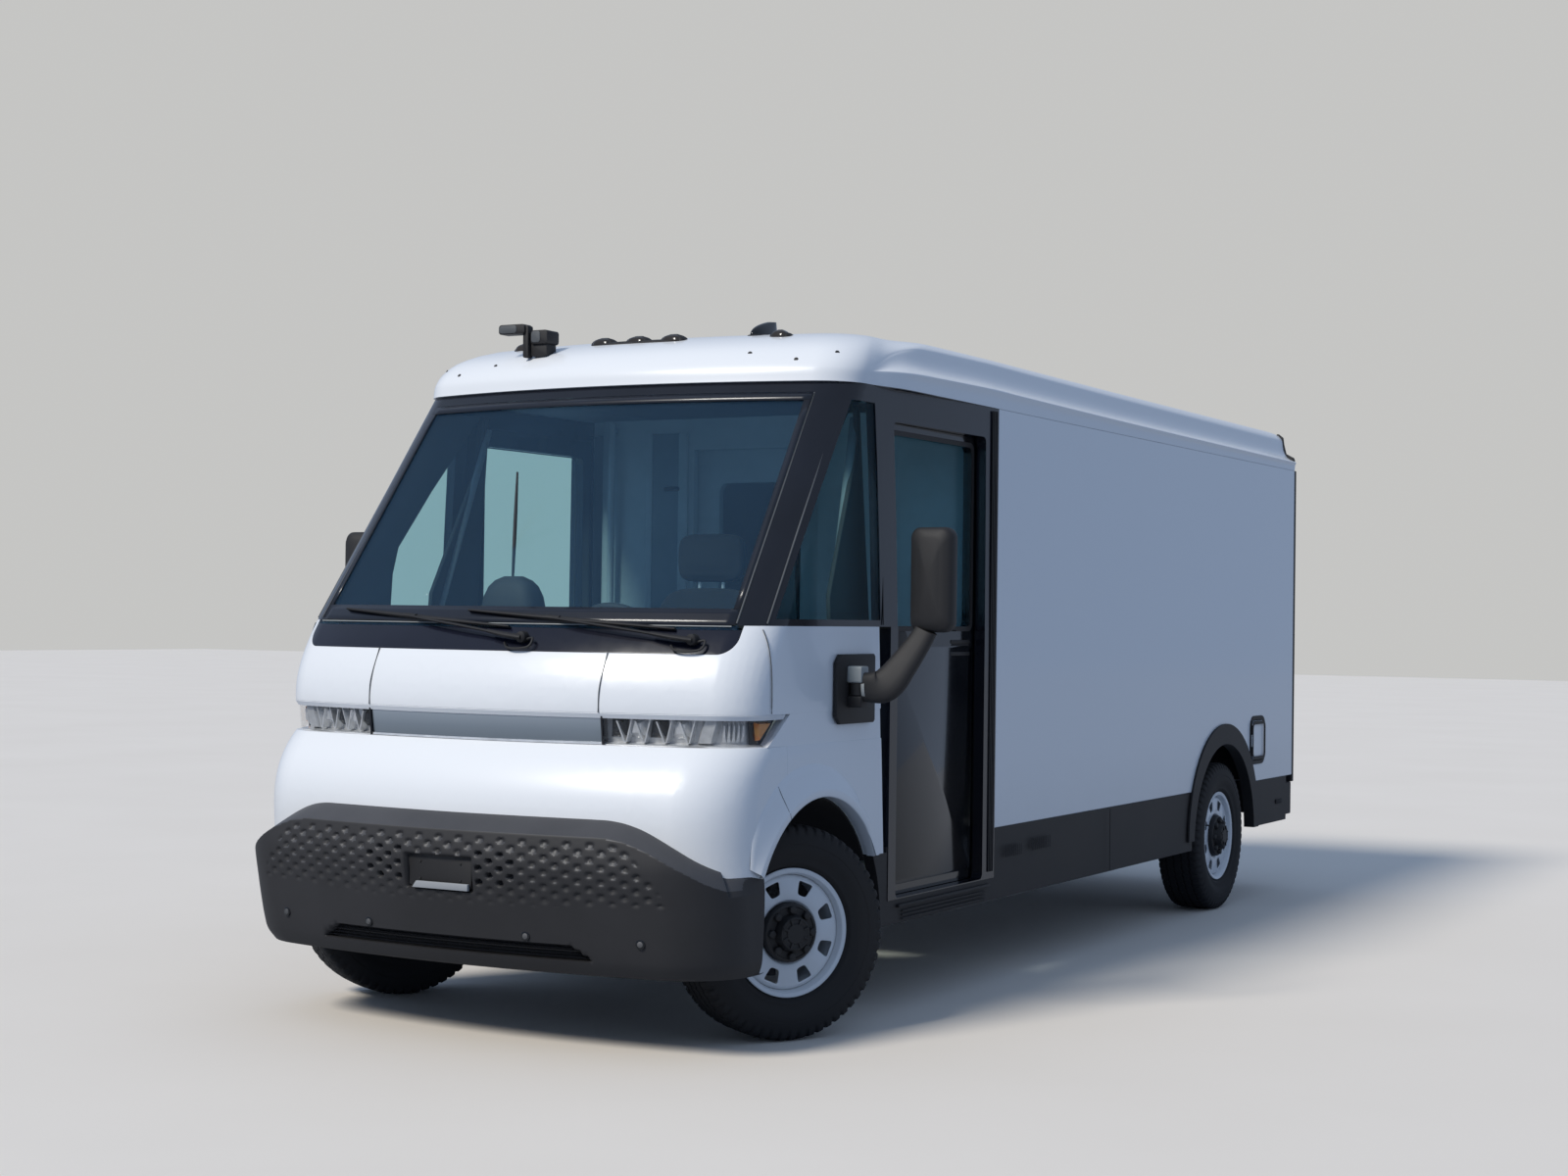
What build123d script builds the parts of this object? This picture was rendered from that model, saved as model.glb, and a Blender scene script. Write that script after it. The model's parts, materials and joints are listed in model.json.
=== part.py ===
"""Electric walk-in cargo van: a box-bodied delivery van with an 8-hole steel wheel at each corner.

Millimetres. +Z is up, the nose faces -Y and the driver's left side is +X. The origin is the middle
of the bounding box at ground level. The front wheels stand steered to the van's right.
"""

from build123d import *
import os
from math import atan2, cos, degrees, sin, sqrt

# ---------------------------------------------------------------- driving dimensions
overall_length = 6900.0
front_overhang = 908.0
wheelbase = 4661.0
body_half = 1055.0
ground_to_panel = 660.0
seam_height = 2445.0
roof_height = 2696.0
belt_height = 1513.0

tyre_radius = 395.0
tyre_width = 240.0
rim_flange_radius = 236.0
rim_width = 200.0
rear_face_half = 1028.0
kingpin_half = 856.0
kingpin_to_face = 150.0
rest_steer = 31.2
spindle_radius = 30.0
running_fit = 0.05

arch_radius = 505.0
arch_centre_height = 385.0
flare_radius = 590.0
flare_proud = 12.0
skirt_inset = 3.0
skirt_thickness = 44.0
clearance = 8.0

wall_thickness = 60.0
pocket_wall_thickness = 125.0
panel_thickness = 40.0
glass_thickness = 8.0
door_thickness = 38.0
door_face_half = 1000.0
door_travel = 800.0
door_low = 448.0
floor_thickness = 40.0
cab_floor_height = 510.0
driver_floor_height = 650.0
glass_head = 45.0
cargo_floor_height = 700.0

# Stations along the van, measured back from the front axle.
hood_seam = -372.0
fascia_seam = -250.0
fender_rear_top = 470.0
fender_rear_bottom = 566.0
door_front = 600.0
door_rear = 1470.0
cab_rear = 1590.0
pocket_rear = 2480.0
body_rear = 5915.0
charge_front = 5112.0
charge_width = 268.0
charge_low = 756.0
charge_high = 1024.0
charge_rim = 20.0
charge_inlet_radius = 38.0

skirt_low = 355.0
band_low = 1085.0
band_high = 1199.0
cowl_low = 1410.0
glass_low = 1497.0
windshield_half_low = 941.0
windshield_half_high = 892.0
windshield_rise = seam_height - belt_height
windshield_run = 698.0
nose_at_belt = -573.0

lid_hinge_x = body_half + 8.3
lid_hinge_y = charge_front + 14.0

plate_hole_radius = 3.5
plate_hole_half_width = 88.9
plate_hole_half_height = 60.325
plate_low, plate_high = 551.0, 691.0

front_axle = -overall_length / 2 + front_overhang
rear_axle = front_axle + wheelbase
rear_end = overall_length / 2

parts = {}


# ---------------------------------------------------------------- helpers
def block(x0, x1, y0, y1, z0, z1):
    """A box between two corners; y is measured back from the front axle."""
    size = Box(x1 - x0, y1 - y0, z1 - z0)
    return Pos((x0 + x1) / 2, front_axle + (y0 + y1) / 2, (z0 + z1) / 2) * size


def both(shape):
    """The shape and its mirror image on the other side of the van."""
    return [shape, mirror(shape, about=Plane.YZ)]


def bar_x(radius, x0, x1, y, z):
    """A round bar across the van."""
    return Pos((x0 + x1) / 2, front_axle + y, z) * Rot(0, 90, 0) * Cylinder(radius, x1 - x0)


def bar_y(radius, y0, y1, x, z):
    """A round bar along the van."""
    return Pos(x, front_axle + (y0 + y1) / 2, z) * Rot(90, 0, 0) * Cylinder(radius, y1 - y0)


def bar_z(radius, x, y, z0, z1):
    """An upright round bar."""
    return Pos(x, front_axle + y, (z0 + z1) / 2) * Cylinder(radius, z1 - z0)


def strut(start, end, radius):
    """A round bar between two points given as (x, y from the front axle, z)."""
    a = Vector(start[0], front_axle + start[1], start[2])
    b = Vector(end[0], front_axle + end[1], end[2])
    plane = Plane(origin=(a + b) / 2, z_dir=(b - a).normalized())
    return plane * Cylinder(radius, (b - a).length)


def prism_x(points, x0, x1):
    """An outline of (y, z) points drawn out across the van."""
    face = Plane.YZ * make_face(Polyline(*[(front_axle + y, z) for y, z in points], close=True))
    return Pos(x0, 0, 0) * extrude(face, x1 - x0, dir=(1, 0, 0))


def prism_y(points, y0, y1):
    """An outline of (x, z) points drawn out along the van."""
    face = Plane.XZ * make_face(Polyline(*points, close=True))
    return Pos(0, front_axle + y0, 0) * extrude(face, y1 - y0, dir=(0, 1, 0))


def rounded_prism_x(x0, x1, y0, y1, z0, z1, radius):
    """A box whose four edges along the x axis are rounded."""
    face = Plane.YZ * RectangleRounded(y1 - y0, z1 - z0, radius)
    return Pos(x0, front_axle + (y0 + y1) / 2, (z0 + z1) / 2) * extrude(face, x1 - x0, dir=(1, 0, 0))


def rounded_prism_y(x0, x1, y0, y1, z0, z1, radius):
    """A box whose four edges along the y axis are rounded."""
    face = Plane.XZ * RectangleRounded(x1 - x0, z1 - z0, radius)
    return Pos((x0 + x1) / 2, front_axle + y0, (z0 + z1) / 2) * extrude(face, y1 - y0, dir=(0, 1, 0))


def outline(height, nose, half, bulge, corner, back, inset=0.0, side=None, shoulder=None):
    """A level section: an arc across the nose, rounded corners and sides running back.

    The sides run from `half` at the corner to `side` at the station `shoulder`, then straight back.
    """
    half = half - inset
    side = half if side is None else side - inset
    nose = front_axle + nose + inset
    bulge = bulge - inset
    corner = max(corner - inset, 20.0)
    shoulder_y = front_axle + (shoulder if shoulder is not None else back - 10.0)
    centre_x = half - corner
    centre_y = nose + bulge - sqrt((bulge - corner) ** 2 - centre_x ** 2)
    share = bulge / (bulge - corner)
    tangent_x = centre_x * share
    tangent_y = nose + bulge + (centre_y - nose - bulge) * share
    turn = atan2(tangent_y - centre_y, tangent_x - centre_x) / 2
    middle = (centre_x + corner * cos(turn), centre_y + corner * sin(turn))
    back_y = front_axle + back
    edges = [
        ThreePointArc((-tangent_x, tangent_y), (0, nose), (tangent_x, tangent_y)),
        ThreePointArc((tangent_x, tangent_y), middle, (half, centre_y)),
        Line((half, centre_y), (side, shoulder_y)),
        Line((side, shoulder_y), (side, back_y)),
        Line((side, back_y), (-side, back_y)),
        Line((-side, back_y), (-side, shoulder_y)),
        Line((-side, shoulder_y), (-half, centre_y)),
        ThreePointArc((-half, centre_y), (-middle[0], middle[1]), (-tangent_x, tangent_y)),
    ]
    return Pos(0, 0, height) * make_face(edges)


def stretched(levels, over):
    """The same levels with one more at each end, `over` beyond, in line with the last two."""
    result = list(levels)
    for near, far, place in ((levels[0], levels[1], 0), (levels[-1], levels[-2], len(levels) + 1)):
        share = over / abs(far[0] - near[0])
        result.insert(place, tuple(n + (n - f) * share for n, f in zip(near, far)))
    return result


def volume(levels, bulge, corner, back, inset=0.0, shoulder=None, ruled=False):
    """A solid through level sections, each (height, nose, half, side).

    An inset copy runs a little past both ends, so that cutting it out leaves clean edges.
    """
    faces = []
    if inset > 0:
        levels = stretched(levels, inset_overrun)
        back = back + inset_overrun
    for height, nose, half, side in levels:
        faces.append(outline(height, nose, half, bulge, corner, back, inset, side, shoulder))
    return loft(faces, ruled=ruled)


def windshield_nose(height):
    """How far forward the sloping windshield's middle is at this height."""
    return nose_at_belt + (height - belt_height) * windshield_run / windshield_rise


# ---------------------------------------------------------------- body volumes
inset_overrun = 25.0
fascia_bulge = 4200.0
fascia_corner = 270.0
hood_bulge = 3100.0
hood_corner = 200.0

fascia_levels = [
    (600.0, -800.0, body_half, body_half),
    (820.0, -806.0, body_half, body_half),
    (940.0, -786.0, body_half, body_half),
    (1000.0, -756.0, body_half, body_half),
    (band_low, -684.0, body_half - 4, body_half),
]
hood_levels = [
    (band_high, -697.0, body_half - 4, body_half),
    (1290.0, -690.0, body_half - 4, body_half),
    (cowl_low, -640.0, body_half - 4, body_half),
    (belt_height, nose_at_belt, body_half - 4, body_half),
]
house_half_high = 1010.0
house_levels = [
    (belt_height, nose_at_belt, body_half - 4, body_half),
    (seam_height, windshield_nose(seam_height), house_half_high, body_half),
]
bumper_levels = [
    (300.0, -815.0, body_half - 8, body_half - 8),
    (380.0, -850.0, body_half, body_half),
    (520.0, -880.0, body_half + 5, body_half + 5),
    (660.0, -front_overhang, body_half + 5, body_half + 5),
    (745.0, -890.0, body_half + 5, body_half + 5),
    (825.0, -822.0, body_half, body_half),
]
roof_levels = [
    (seam_height, 112.0, 1012.0, body_half),
    (2500.0, 126.0, 1012.0, body_half + 5),
    (2550.0, 165.0, 1000.0, 1036.0),
    (2600.0, 238.0, 972.0, 1000.0),
    (2650.0, 390.0, 912.0, 940.0),
    (2680.0, 580.0, 820.0, 845.0),
    (roof_height, 800.0, 690.0, 720.0),
]
cap_rear = 560.0


def fascia_solid(inset):
    return volume(fascia_levels, fascia_bulge, fascia_corner, 700.0, inset)


def hood_solid(inset):
    return volume(hood_levels, hood_bulge, hood_corner, 700.0, inset)


def house_solid(inset):
    return volume(house_levels, hood_bulge, hood_corner, cab_rear + 20, inset, ruled=True)


def roof_block():
    return volume(roof_levels, hood_bulge, hood_corner, body_rear, 0.0, cab_rear)


def roof_solid():
    levels = [(seam_height - 30, 162.0, 957.0, body_half - 55)]
    for height, nose, half, side in roof_levels[1:-1]:
        levels.append((height - 40, nose + 50, half - 55, side - 55))
    inner = volume(levels, hood_bulge, hood_corner, body_rear - panel_thickness, 0.0, cab_rear)
    return roof_block() - inner


# ---------------------------------------------------------------- shell panels
def arch_cut(x0, x1, station, radius=arch_radius):
    return bar_x(radius, x0, x1, station, arch_centre_height)


hood_shell = hood_solid(0.0) - hood_solid(panel_thickness)
fascia_shell = fascia_solid(0.0) - fascia_solid(panel_thickness)
house_shell = house_solid(0.0) - house_solid(panel_thickness)
cowl_gap = rounded_prism_y(-windshield_half_low - 20, windshield_half_low + 20, -1000, 300,
                           cowl_low, belt_height + 150, 60)


def make_hood():
    keep = block(-1200, 1200, -1000, hood_seam, band_high, belt_height)
    return (hood_shell & keep) - cowl_gap


def make_cowl():
    """The black scuttle panel below the windshield, open underneath for the wiper drive."""
    low = hood_shell & block(-1200, 1200, -1000, 200, cowl_low, glass_low)
    gap = cowl_gap & block(-1200, 1200, -1000, 300, cowl_low, glass_low)
    return low & gap


def band_solid(inset, depth):
    levels = [
        (band_low, -684.0 + depth, body_half - 4, body_half - 4),
        (band_high, -697.0 + depth, body_half - 4, body_half - 4),
    ]
    return volume(levels, hood_bulge, hood_corner, 700.0, inset, ruled=True)


lamp_inner = 513.0
lamp_end_high = -228.0
lamp_end_low = -388.0
band_recess = 14.0


def make_light_band():
    shell = band_solid(0.0, band_recess) - band_solid(panel_thickness, band_recess)
    bar = shell & block(-lamp_inner, lamp_inner, -1000, 0, band_low, band_high)
    wing = prism_x([(-1000, band_low), (lamp_end_low, band_low), (lamp_end_high, band_high),
                    (-1000, band_high)], lamp_inner + 1, 1200)
    lamp = shell & wing
    return bar, both(lamp)


def make_fascia():
    keep = block(-1200, 1200, -1000, fascia_seam, 600, band_low)
    panel = fascia_shell & keep
    for x0, x1 in ((600, 1300), (-1300, -600)):
        panel -= arch_cut(x0, x1, 0)
    return panel - bumper_space()


def bumper_space():
    """Everything in front of and below the bumper's top edge."""
    right = [(0, 822), (640, 822), (760, 790), (880, 722), (980, 652), (1060, 622), (1300, 622)]
    left = [(-x, z) for x, z in reversed(right)]
    return prism_y(left + right[1:] + [(1300, 0), (-1300, 0)], -1000, 0)


plate_face = -front_overhang + 26
bumper_rear = -412.0


def make_front_bumper():
    outer = volume(bumper_levels, fascia_bulge, fascia_corner, 300.0)
    inner = volume(bumper_levels, fascia_bulge, fascia_corner, 300.0, 45.0)
    shell = (outer - inner) & bumper_space() & block(-1300, 1300, -1000, bumper_rear, 0, 900)
    floor = outer & block(-1300, 1300, -1000, -560, 300, 312)
    shell += floor
    grille = rounded_prism_y(-470, 470, -1000, -700, 345, 405, 24)
    shell -= rounded_prism_y(-132, 132, -1000, plate_face, plate_low, plate_high, 14)
    middle = (plate_low + plate_high) / 2
    for x in (-plate_hole_half_width, plate_hole_half_width):
        for z in (middle - plate_hole_half_height, middle + plate_hole_half_height):
            shell -= bar_y(plate_hole_radius, plate_face - 20, plate_face + 60, x, z)
    return shell - grille


def make_fender(side_sign):
    """The cab side below the belt, from the hood seam to the door, with its wheel arch."""
    upper = block(600, 1200, hood_seam, 700, band_high, belt_height) & hood_shell
    lower = block(600, 1200, fascia_seam, 700, 600, band_low) & fascia_shell
    band = band_solid(0.0, 0.0) - band_solid(panel_thickness, 0.0)
    behind_lamp = prism_x([(lamp_end_low, band_low), (700, band_low), (700, band_high),
                           (lamp_end_high, band_high)], 600, 1200)
    middle = (band & behind_lamp)
    panel = upper + middle + lower
    rear = prism_x([(fender_rear_bottom, 0), (fender_rear_top, belt_height + 10),
                    (2000, belt_height + 10), (2000, 0)], 600, 1300)
    panel = panel - rear - arch_cut(600, 1300, 0)
    panel = panel - block(600, 1300, 0, 2000, 0, 640)
    lip = bar_x(arch_radius + 42, body_half - 20, body_half + 16, 0, arch_centre_height)
    lip = lip - arch_cut(900, 1200, 0)
    lip = lip & block(900, 1200, -405, fender_rear_top - 10, 640, 1100)
    panel = panel + (lip - fascia_solid(10.0) - block(0, 1300, -2000, fascia_seam, 0, 2000))
    return panel if side_sign > 0 else mirror(panel, about=Plane.YZ)


def windshield_prism(extra, y_high=1500.0):
    """The wedge that the windshield fills, seen from the front, `extra` wider on each side."""
    low = windshield_half_low + extra
    high = windshield_half_high + extra
    slope = (low - high) / windshield_rise
    foot = low + slope * (belt_height - glass_low)
    top = seam_height - glass_head
    head = high + slope * glass_head
    return prism_y([(-foot, glass_low), (foot, glass_low), (head, top), (-head, top)], -1000, y_high)


def make_windshield():
    pane = house_solid(2.0) - house_solid(2.0 + glass_thickness)
    low = volume([(cowl_low, -640.0, body_half - 4, body_half), house_levels[0]], hood_bulge,
                 hood_corner, 700.0, 2.0)
    low_in = volume([(cowl_low, -640.0, body_half - 4, body_half), house_levels[0]], hood_bulge,
                    hood_corner, 700.0, 2.0 + glass_thickness)
    sill = (low - low_in) & block(-1300, 1300, -1000, 1000, glass_low, belt_height)
    return (pane & windshield_prism(0.0)) + (sill & windshield_prism(0.0))


quarter_gap = 75.0
post_front = 505.0


def quarter_prism():
    """The slot between the windshield pillar and the door post, seen from the side."""
    low_front = -330.0
    high_front = low_front + windshield_run * 0.93
    high = seam_height - 70
    low = belt_height + 25
    return prism_x([(low_front + 20, low), (post_front - 20, low), (post_front - 20, high),
                    (high_front, high)], 700, 1300)


def make_cab_frame():
    """Windshield pillars and header, door posts and headers: one black frame round the glass."""
    keep = block(-1300, 1300, -1000, door_front - 30, belt_height, seam_height)
    pillars = (house_shell & keep) - windshield_prism(0.0)
    frame = pillars
    for side_sign in (1, -1):
        slot = quarter_prism()
        ring = door_ring()
        if side_sign < 0:
            slot = mirror(slot, about=Plane.YZ)
            ring = mirror(ring, about=Plane.YZ)
        frame = frame - slot + ring
    return frame


ring_depth = body_half - door_face_half - clearance


def door_ring():
    """The black surround of one cab door, outboard of the sliding door."""
    outer = block(body_half - ring_depth, body_half, door_front - 30, cab_rear - 2,
                  skirt_low + 95, seam_height)
    hole = rounded_prism_x(900, 1200, door_front + 35, door_rear - 5, 455, seam_height - 130, 25)
    return (outer - hole) & house_envelope()


def house_envelope():
    """The space inside the cab's outer skin at any height."""
    return house_solid(0.0) + block(-body_half, body_half, -400, cab_rear + 10, 0, belt_height)


def make_quarter_windows():
    pane = house_solid(3.0) - house_solid(3.0 + 6.0)
    return both(pane & quarter_prism())


# ---------------------------------------------------------------- cargo body
def make_wall():
    wall = block(body_half - wall_thickness, body_half, cab_rear, body_rear, ground_to_panel,
                 seam_height)
    wall += block(body_half - pocket_wall_thickness, body_half - 1, cab_rear, pocket_rear,
                  ground_to_panel, seam_height)
    inner = door_face_half - door_thickness - clearance
    wall -= block(inner, door_face_half + clearance, cab_rear - 5, pocket_rear - 24, 0,
                  seam_height - 60)
    wall -= bar_x(flare_radius - 15, 900, 1300, wheelbase, arch_centre_height + 25)
    return wall


def make_roof():
    shell = roof_solid()
    for sign in (1, -1):
        scoop = loft([
            Plane(origin=(sign * 1120, front_axle + 640, 2580), z_dir=(0, 1, 0)) * Circle(12),
            Plane(origin=(sign * 1090, front_axle + 1150, 2580), z_dir=(0, 1, 0)) * Circle(66),
            Plane(origin=(sign * 1090, front_axle + body_rear + 10, 2580), z_dir=(0, 1, 0)) * Circle(66),
        ], ruled=True)
        shell -= scoop
    rear_top = block(-1200, 1200, body_rear - 90, body_rear + 20, roof_height - 90, roof_height + 50)
    rear_top -= bar_x(90, -1300, 1300, body_rear - 90, roof_height - 90)
    return shell - rear_top


def make_cargo_floor():
    inner_half = body_half - pocket_wall_thickness
    wide = body_half - wall_thickness
    low = cargo_floor_height - floor_thickness
    deck = block(-inner_half, inner_half, cab_rear, pocket_rear, low, cargo_floor_height)
    deck += block(-wide, wide, pocket_rear, body_rear, low, cargo_floor_height)
    for sign in (1, -1):
        x0, x1 = sorted((sign * 745.0, sign * 1100.0))
        deck -= block(x0, x1, wheelbase - 520, wheelbase + 520, 0, 1200)
    return deck


def make_cab_floor():
    low = cab_floor_height - floor_thickness
    deck = block(-950, 950, door_front - 30, cab_rear - 50, low, cab_floor_height)
    raised = driver_floor_height - floor_thickness
    step = door_front - 30
    deck += block(-480, 480, -470, step, raised, driver_floor_height)
    deck += block(-480, 480, step, step + 30, low, driver_floor_height)
    deck += block(-480, 480, -470, -440, raised, 1100)
    for x0, x1 in ((-500, -420), (420, 500)):
        deck += block(x0, x1, -470, -410, low, raised)
    return deck


def make_wheel_housings():
    """Front wheel liners and the rear wheel boxes that stand up through the load floor."""
    pieces = []
    liner_outer = body_half - panel_thickness - 0.3
    shell = arch_cut(503, liner_outer, 0, arch_radius) - arch_cut(511, 1100, 0, arch_radius - 8)
    shell &= block(400, 1100, -600, 600, 420, 1000)
    shell -= block(900, 1100, 440, 700, 0, 665)
    shell -= block(400, 600, -130, 130, 500, 610)
    shell -= bumper_space() & block(-1300, 1300, -1000, bumper_rear, 0, 900)
    pieces += both(shell)
    box = block(745, body_half - wall_thickness, wheelbase - 520, wheelbase + 520,
                ground_to_panel + 8, 912)
    box -= block(753, 1100, wheelbase - 512, wheelbase + 512, 0, 904)
    pieces += both(box)
    return pieces


bulkhead_rear = cab_rear - 10
bulkhead_gap_low, bulkhead_gap_high = -430.0, 210.0
bulkhead_head = 2300.0
bulkhead_door_top = bulkhead_head + 39.7


def make_bulkhead():
    """The wall behind the cab, with a doorway and the rail that its door hangs from."""
    half = body_half - pocket_wall_thickness - 2
    panel = block(-half, half, cab_rear - 50, bulkhead_rear, cab_floor_height, seam_height)
    panel -= block(bulkhead_gap_low, bulkhead_gap_high, cab_rear - 60, cab_rear, cab_floor_height,
                   bulkhead_head)
    rail = block(bulkhead_gap_low - 30, half, bulkhead_rear, bulkhead_rear + 48,
                 bulkhead_door_top + 0.3, bulkhead_door_top + 40)
    return panel + rail


def make_bulkhead_door():
    low = cargo_floor_height + clearance
    front, rear = bulkhead_rear + 6, bulkhead_rear + 42
    door = rounded_prism_y(bulkhead_gap_low - 30, bulkhead_gap_high + 30, front, rear, low,
                           bulkhead_door_top - 20, 20)
    door += block(bulkhead_gap_low + 40, bulkhead_gap_high - 40, front, rear,
                  bulkhead_door_top - 60, bulkhead_door_top)
    window = rounded_prism_y(bulkhead_gap_low + 110, bulkhead_gap_high - 110, front - 10, rear + 10,
                             1450, 2150, 40)
    return door - window


def make_rear_frame():
    """The portal at the back of the load space, with the roll-up door's curtain closed in it."""
    frame = block(-body_half, body_half, body_rear, body_rear + 38, ground_to_panel - 40, seam_height)
    frame -= block(-850, 850, body_rear - 5, body_rear + 50, cargo_floor_height, 2330)
    return frame


def make_rear_door():
    low = cargo_floor_height + 0.3
    curtain = block(-845, 845, body_rear + 6, body_rear + 26, low, 2326)
    curtain += block(-845, 845, body_rear + 2, body_rear + 34, low, cargo_floor_height + 90)
    return curtain


def make_rear_bumper():
    step = block(-1000, 1000, body_rear + 30, rear_end - front_axle, 470, 560)
    step += block(-1040, 1040, body_rear - 100, body_rear + 39, 430, ground_to_panel - 42)
    return step


def make_tail_lamps():
    lamp = rounded_prism_y(900, 1010, body_rear + 38, body_rear + 50, 1150, 1500, 20)
    return both(lamp)


# ---------------------------------------------------------------- skirts, charge port
def make_side_skirt():
    outer = body_half - skirt_inset
    front = block(outer - skirt_thickness, outer, 440, wheelbase - 480, skirt_low, ground_to_panel)
    front -= block(0, 1300, 400, fender_rear_bottom - 4, 640, 700)
    front -= block(900, 1300, door_front - 30, cab_rear - 2, skirt_low + 95, 700)
    front -= arch_cut(900, 1300, 0, arch_radius + 5)
    tread = block(outer - 240, outer, door_front - 20, cab_rear - 20, skirt_low + 50, skirt_low + 88)
    front += tread
    front += block(door_face_half - 26, door_face_half - 14, door_front, cab_rear - 40, skirt_low + 80,
                   door_low - 0.3)
    rear = block(outer - skirt_thickness, outer, wheelbase + 480, body_rear - 100, 405, ground_to_panel)
    centre = arch_centre_height + 25
    flare = bar_x(flare_radius - 16, outer - skirt_thickness, body_half, wheelbase, centre)
    flare += bar_x(flare_radius, body_half, body_half + flare_proud, wheelbase, centre)
    flare &= block(900, 1300, wheelbase - 700, wheelbase + 700, 405, 1200)
    skirt = front + rear + flare
    return skirt - bar_x(arch_radius, 900, 1300, wheelbase, arch_centre_height)


def make_charge_port():
    """The ring and pocket let into the left wall, with the charge inlet inside."""
    rear = charge_front + charge_width
    ring = rounded_prism_x(body_half - 58, body_half + 4, charge_front, rear, charge_low,
                           charge_high, 60)
    ring -= rounded_prism_x(body_half - 46, body_half + 20, charge_front + charge_rim,
                            rear - charge_rim, charge_low + charge_rim, charge_high - charge_rim, 44)
    middle_y = charge_front + charge_width / 2
    middle_z = (charge_low + charge_high) / 2
    ring += bar_x(charge_inlet_radius, body_half - 50, body_half - 28, middle_y, middle_z)
    for step in (-1, 1):
        z = middle_z + step * 60
        ring += bar_z(4, lid_hinge_x, lid_hinge_y, z - 26, z + 26)
        ring += block(body_half, lid_hinge_x, lid_hinge_y - 4, lid_hinge_y + 2, z - 26, z + 26)
    return ring + bar_z(1.5, lid_hinge_x, lid_hinge_y, middle_z - 40, middle_z + 40)


def charge_hole():
    return rounded_prism_x(body_half - 70, body_half + 20, charge_front, charge_front + charge_width,
                           charge_low, charge_high, 60)


def make_charge_lid():
    gap = charge_rim + 5
    rear = charge_front + charge_width
    middle_z = (charge_low + charge_high) / 2
    lid = rounded_prism_x(body_half - 8, body_half + 4, charge_front + gap, rear - gap,
                          charge_low + gap, charge_high - gap, 40)
    strap = block(body_half + 4, lid_hinge_x + 2, lid_hinge_y, charge_front + gap + 30,
                  middle_z - 33, middle_z + 33)
    barrel = bar_z(4, lid_hinge_x, lid_hinge_y, middle_z - 33, middle_z + 33)
    pin = bar_z(1.5 + running_fit, lid_hinge_x, lid_hinge_y, middle_z - 60, middle_z + 60)
    return lid + strap + barrel - pin


# ---------------------------------------------------------------- cab doors
def make_cab_door():
    inner = door_face_half - door_thickness
    door = rounded_prism_x(inner, door_face_half, door_front, door_rear + 40, door_low, seam_height - 95,
                           25)
    window = rounded_prism_x(inner - 5, door_face_half + 5, door_front + 70, door_rear - 40,
                             belt_height, seam_height - 175, 30)
    return door - window


def make_cab_door_glass():
    middle = door_face_half - door_thickness / 2
    return rounded_prism_x(middle - 3, middle + 3, door_front + 70, door_rear - 40, belt_height,
                           seam_height - 175, 30)


# ---------------------------------------------------------------- wheels
def to_corner(shape, side_sign, front):
    """Moves a shape made about a straight wheel on the left side to its own corner.

    The shape is made with the kingpin at x = 0 in front, or the wheel face at x = 0 behind.
    """
    if side_sign < 0:
        shape = mirror(shape, about=Plane.YZ)
    if not front:
        return Pos(side_sign * rear_face_half, rear_axle, tyre_radius) * shape
    turned = Rot(0, 0, -rest_steer) * shape
    return Pos(side_sign * kingpin_half, front_axle, tyre_radius) * turned


def ring_profile(points):
    """A solid of revolution about the x axis from (x, radius) points."""
    face = make_face(Polyline(*points, close=True))
    return revolve(face, Axis.X, 360)


def make_rim(face_x):
    """A steel wheel: barrel, flat disc with eight hand holes, hub cover."""
    back = face_x - rim_width
    barrel = ring_profile([
        (face_x, 222), (face_x, rim_flange_radius), (face_x - 9, rim_flange_radius),
        (face_x - 14, 220), (face_x - 60, 216), (face_x - 72, 208), (face_x - 120, 208),
        (back + 40, 218), (back + 14, 220), (back + 9, rim_flange_radius), (back, rim_flange_radius),
        (back, 222), (back + 20, 210), (back + 45, 206), (face_x - 118, 200), (face_x - 66, 200),
        (face_x - 54, 206), (face_x - 12, 212),
    ])
    disc = ring_profile([
        (face_x - 44, 60), (face_x - 44, 108), (face_x - 34, 122), (face_x - 34, 190),
        (face_x - 52, 203), (face_x - 62, 203), (face_x - 48, 186), (face_x - 48, 118),
        (face_x - 58, 106), (face_x - 58, 60),
    ])
    for index in range(8):
        hole = Pos(face_x - 45, 0, 0) * Rot(22.5 + 45 * index, 0, 0) * Pos(0, 0, 163)
        disc -= hole * Rot(0, 90, 0) * extrude(RectangleRounded(46, 52, 12), 60, both=True)
    hub = ring_profile([(face_x - 58, spindle_radius + running_fit), (face_x - 58, 62),
                        (face_x - 44, 90), (face_x - 20, 84), (face_x + 4, 66), (face_x + 6, 40),
                        (face_x + 6, 0), (face_x - 6, 0), (face_x - 6, spindle_radius + running_fit)])
    return barrel + disc + hub


def make_tyre(face_x):
    middle = face_x - rim_width / 2
    half = tyre_width / 2
    points = [
        (-88, 237), (-97, 250), (-half, 300), (-half, 322), (-108, 372), (-92, 388), (-60, 394),
        (0, tyre_radius), (60, 394), (92, 388), (108, 372), (half, 322), (half, 300), (97, 250),
        (88, 237), (86, 222), (-86, 222),
    ]
    return ring_profile([(middle + x, r) for x, r in points])


ball_joint_rise = 160.0


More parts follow.
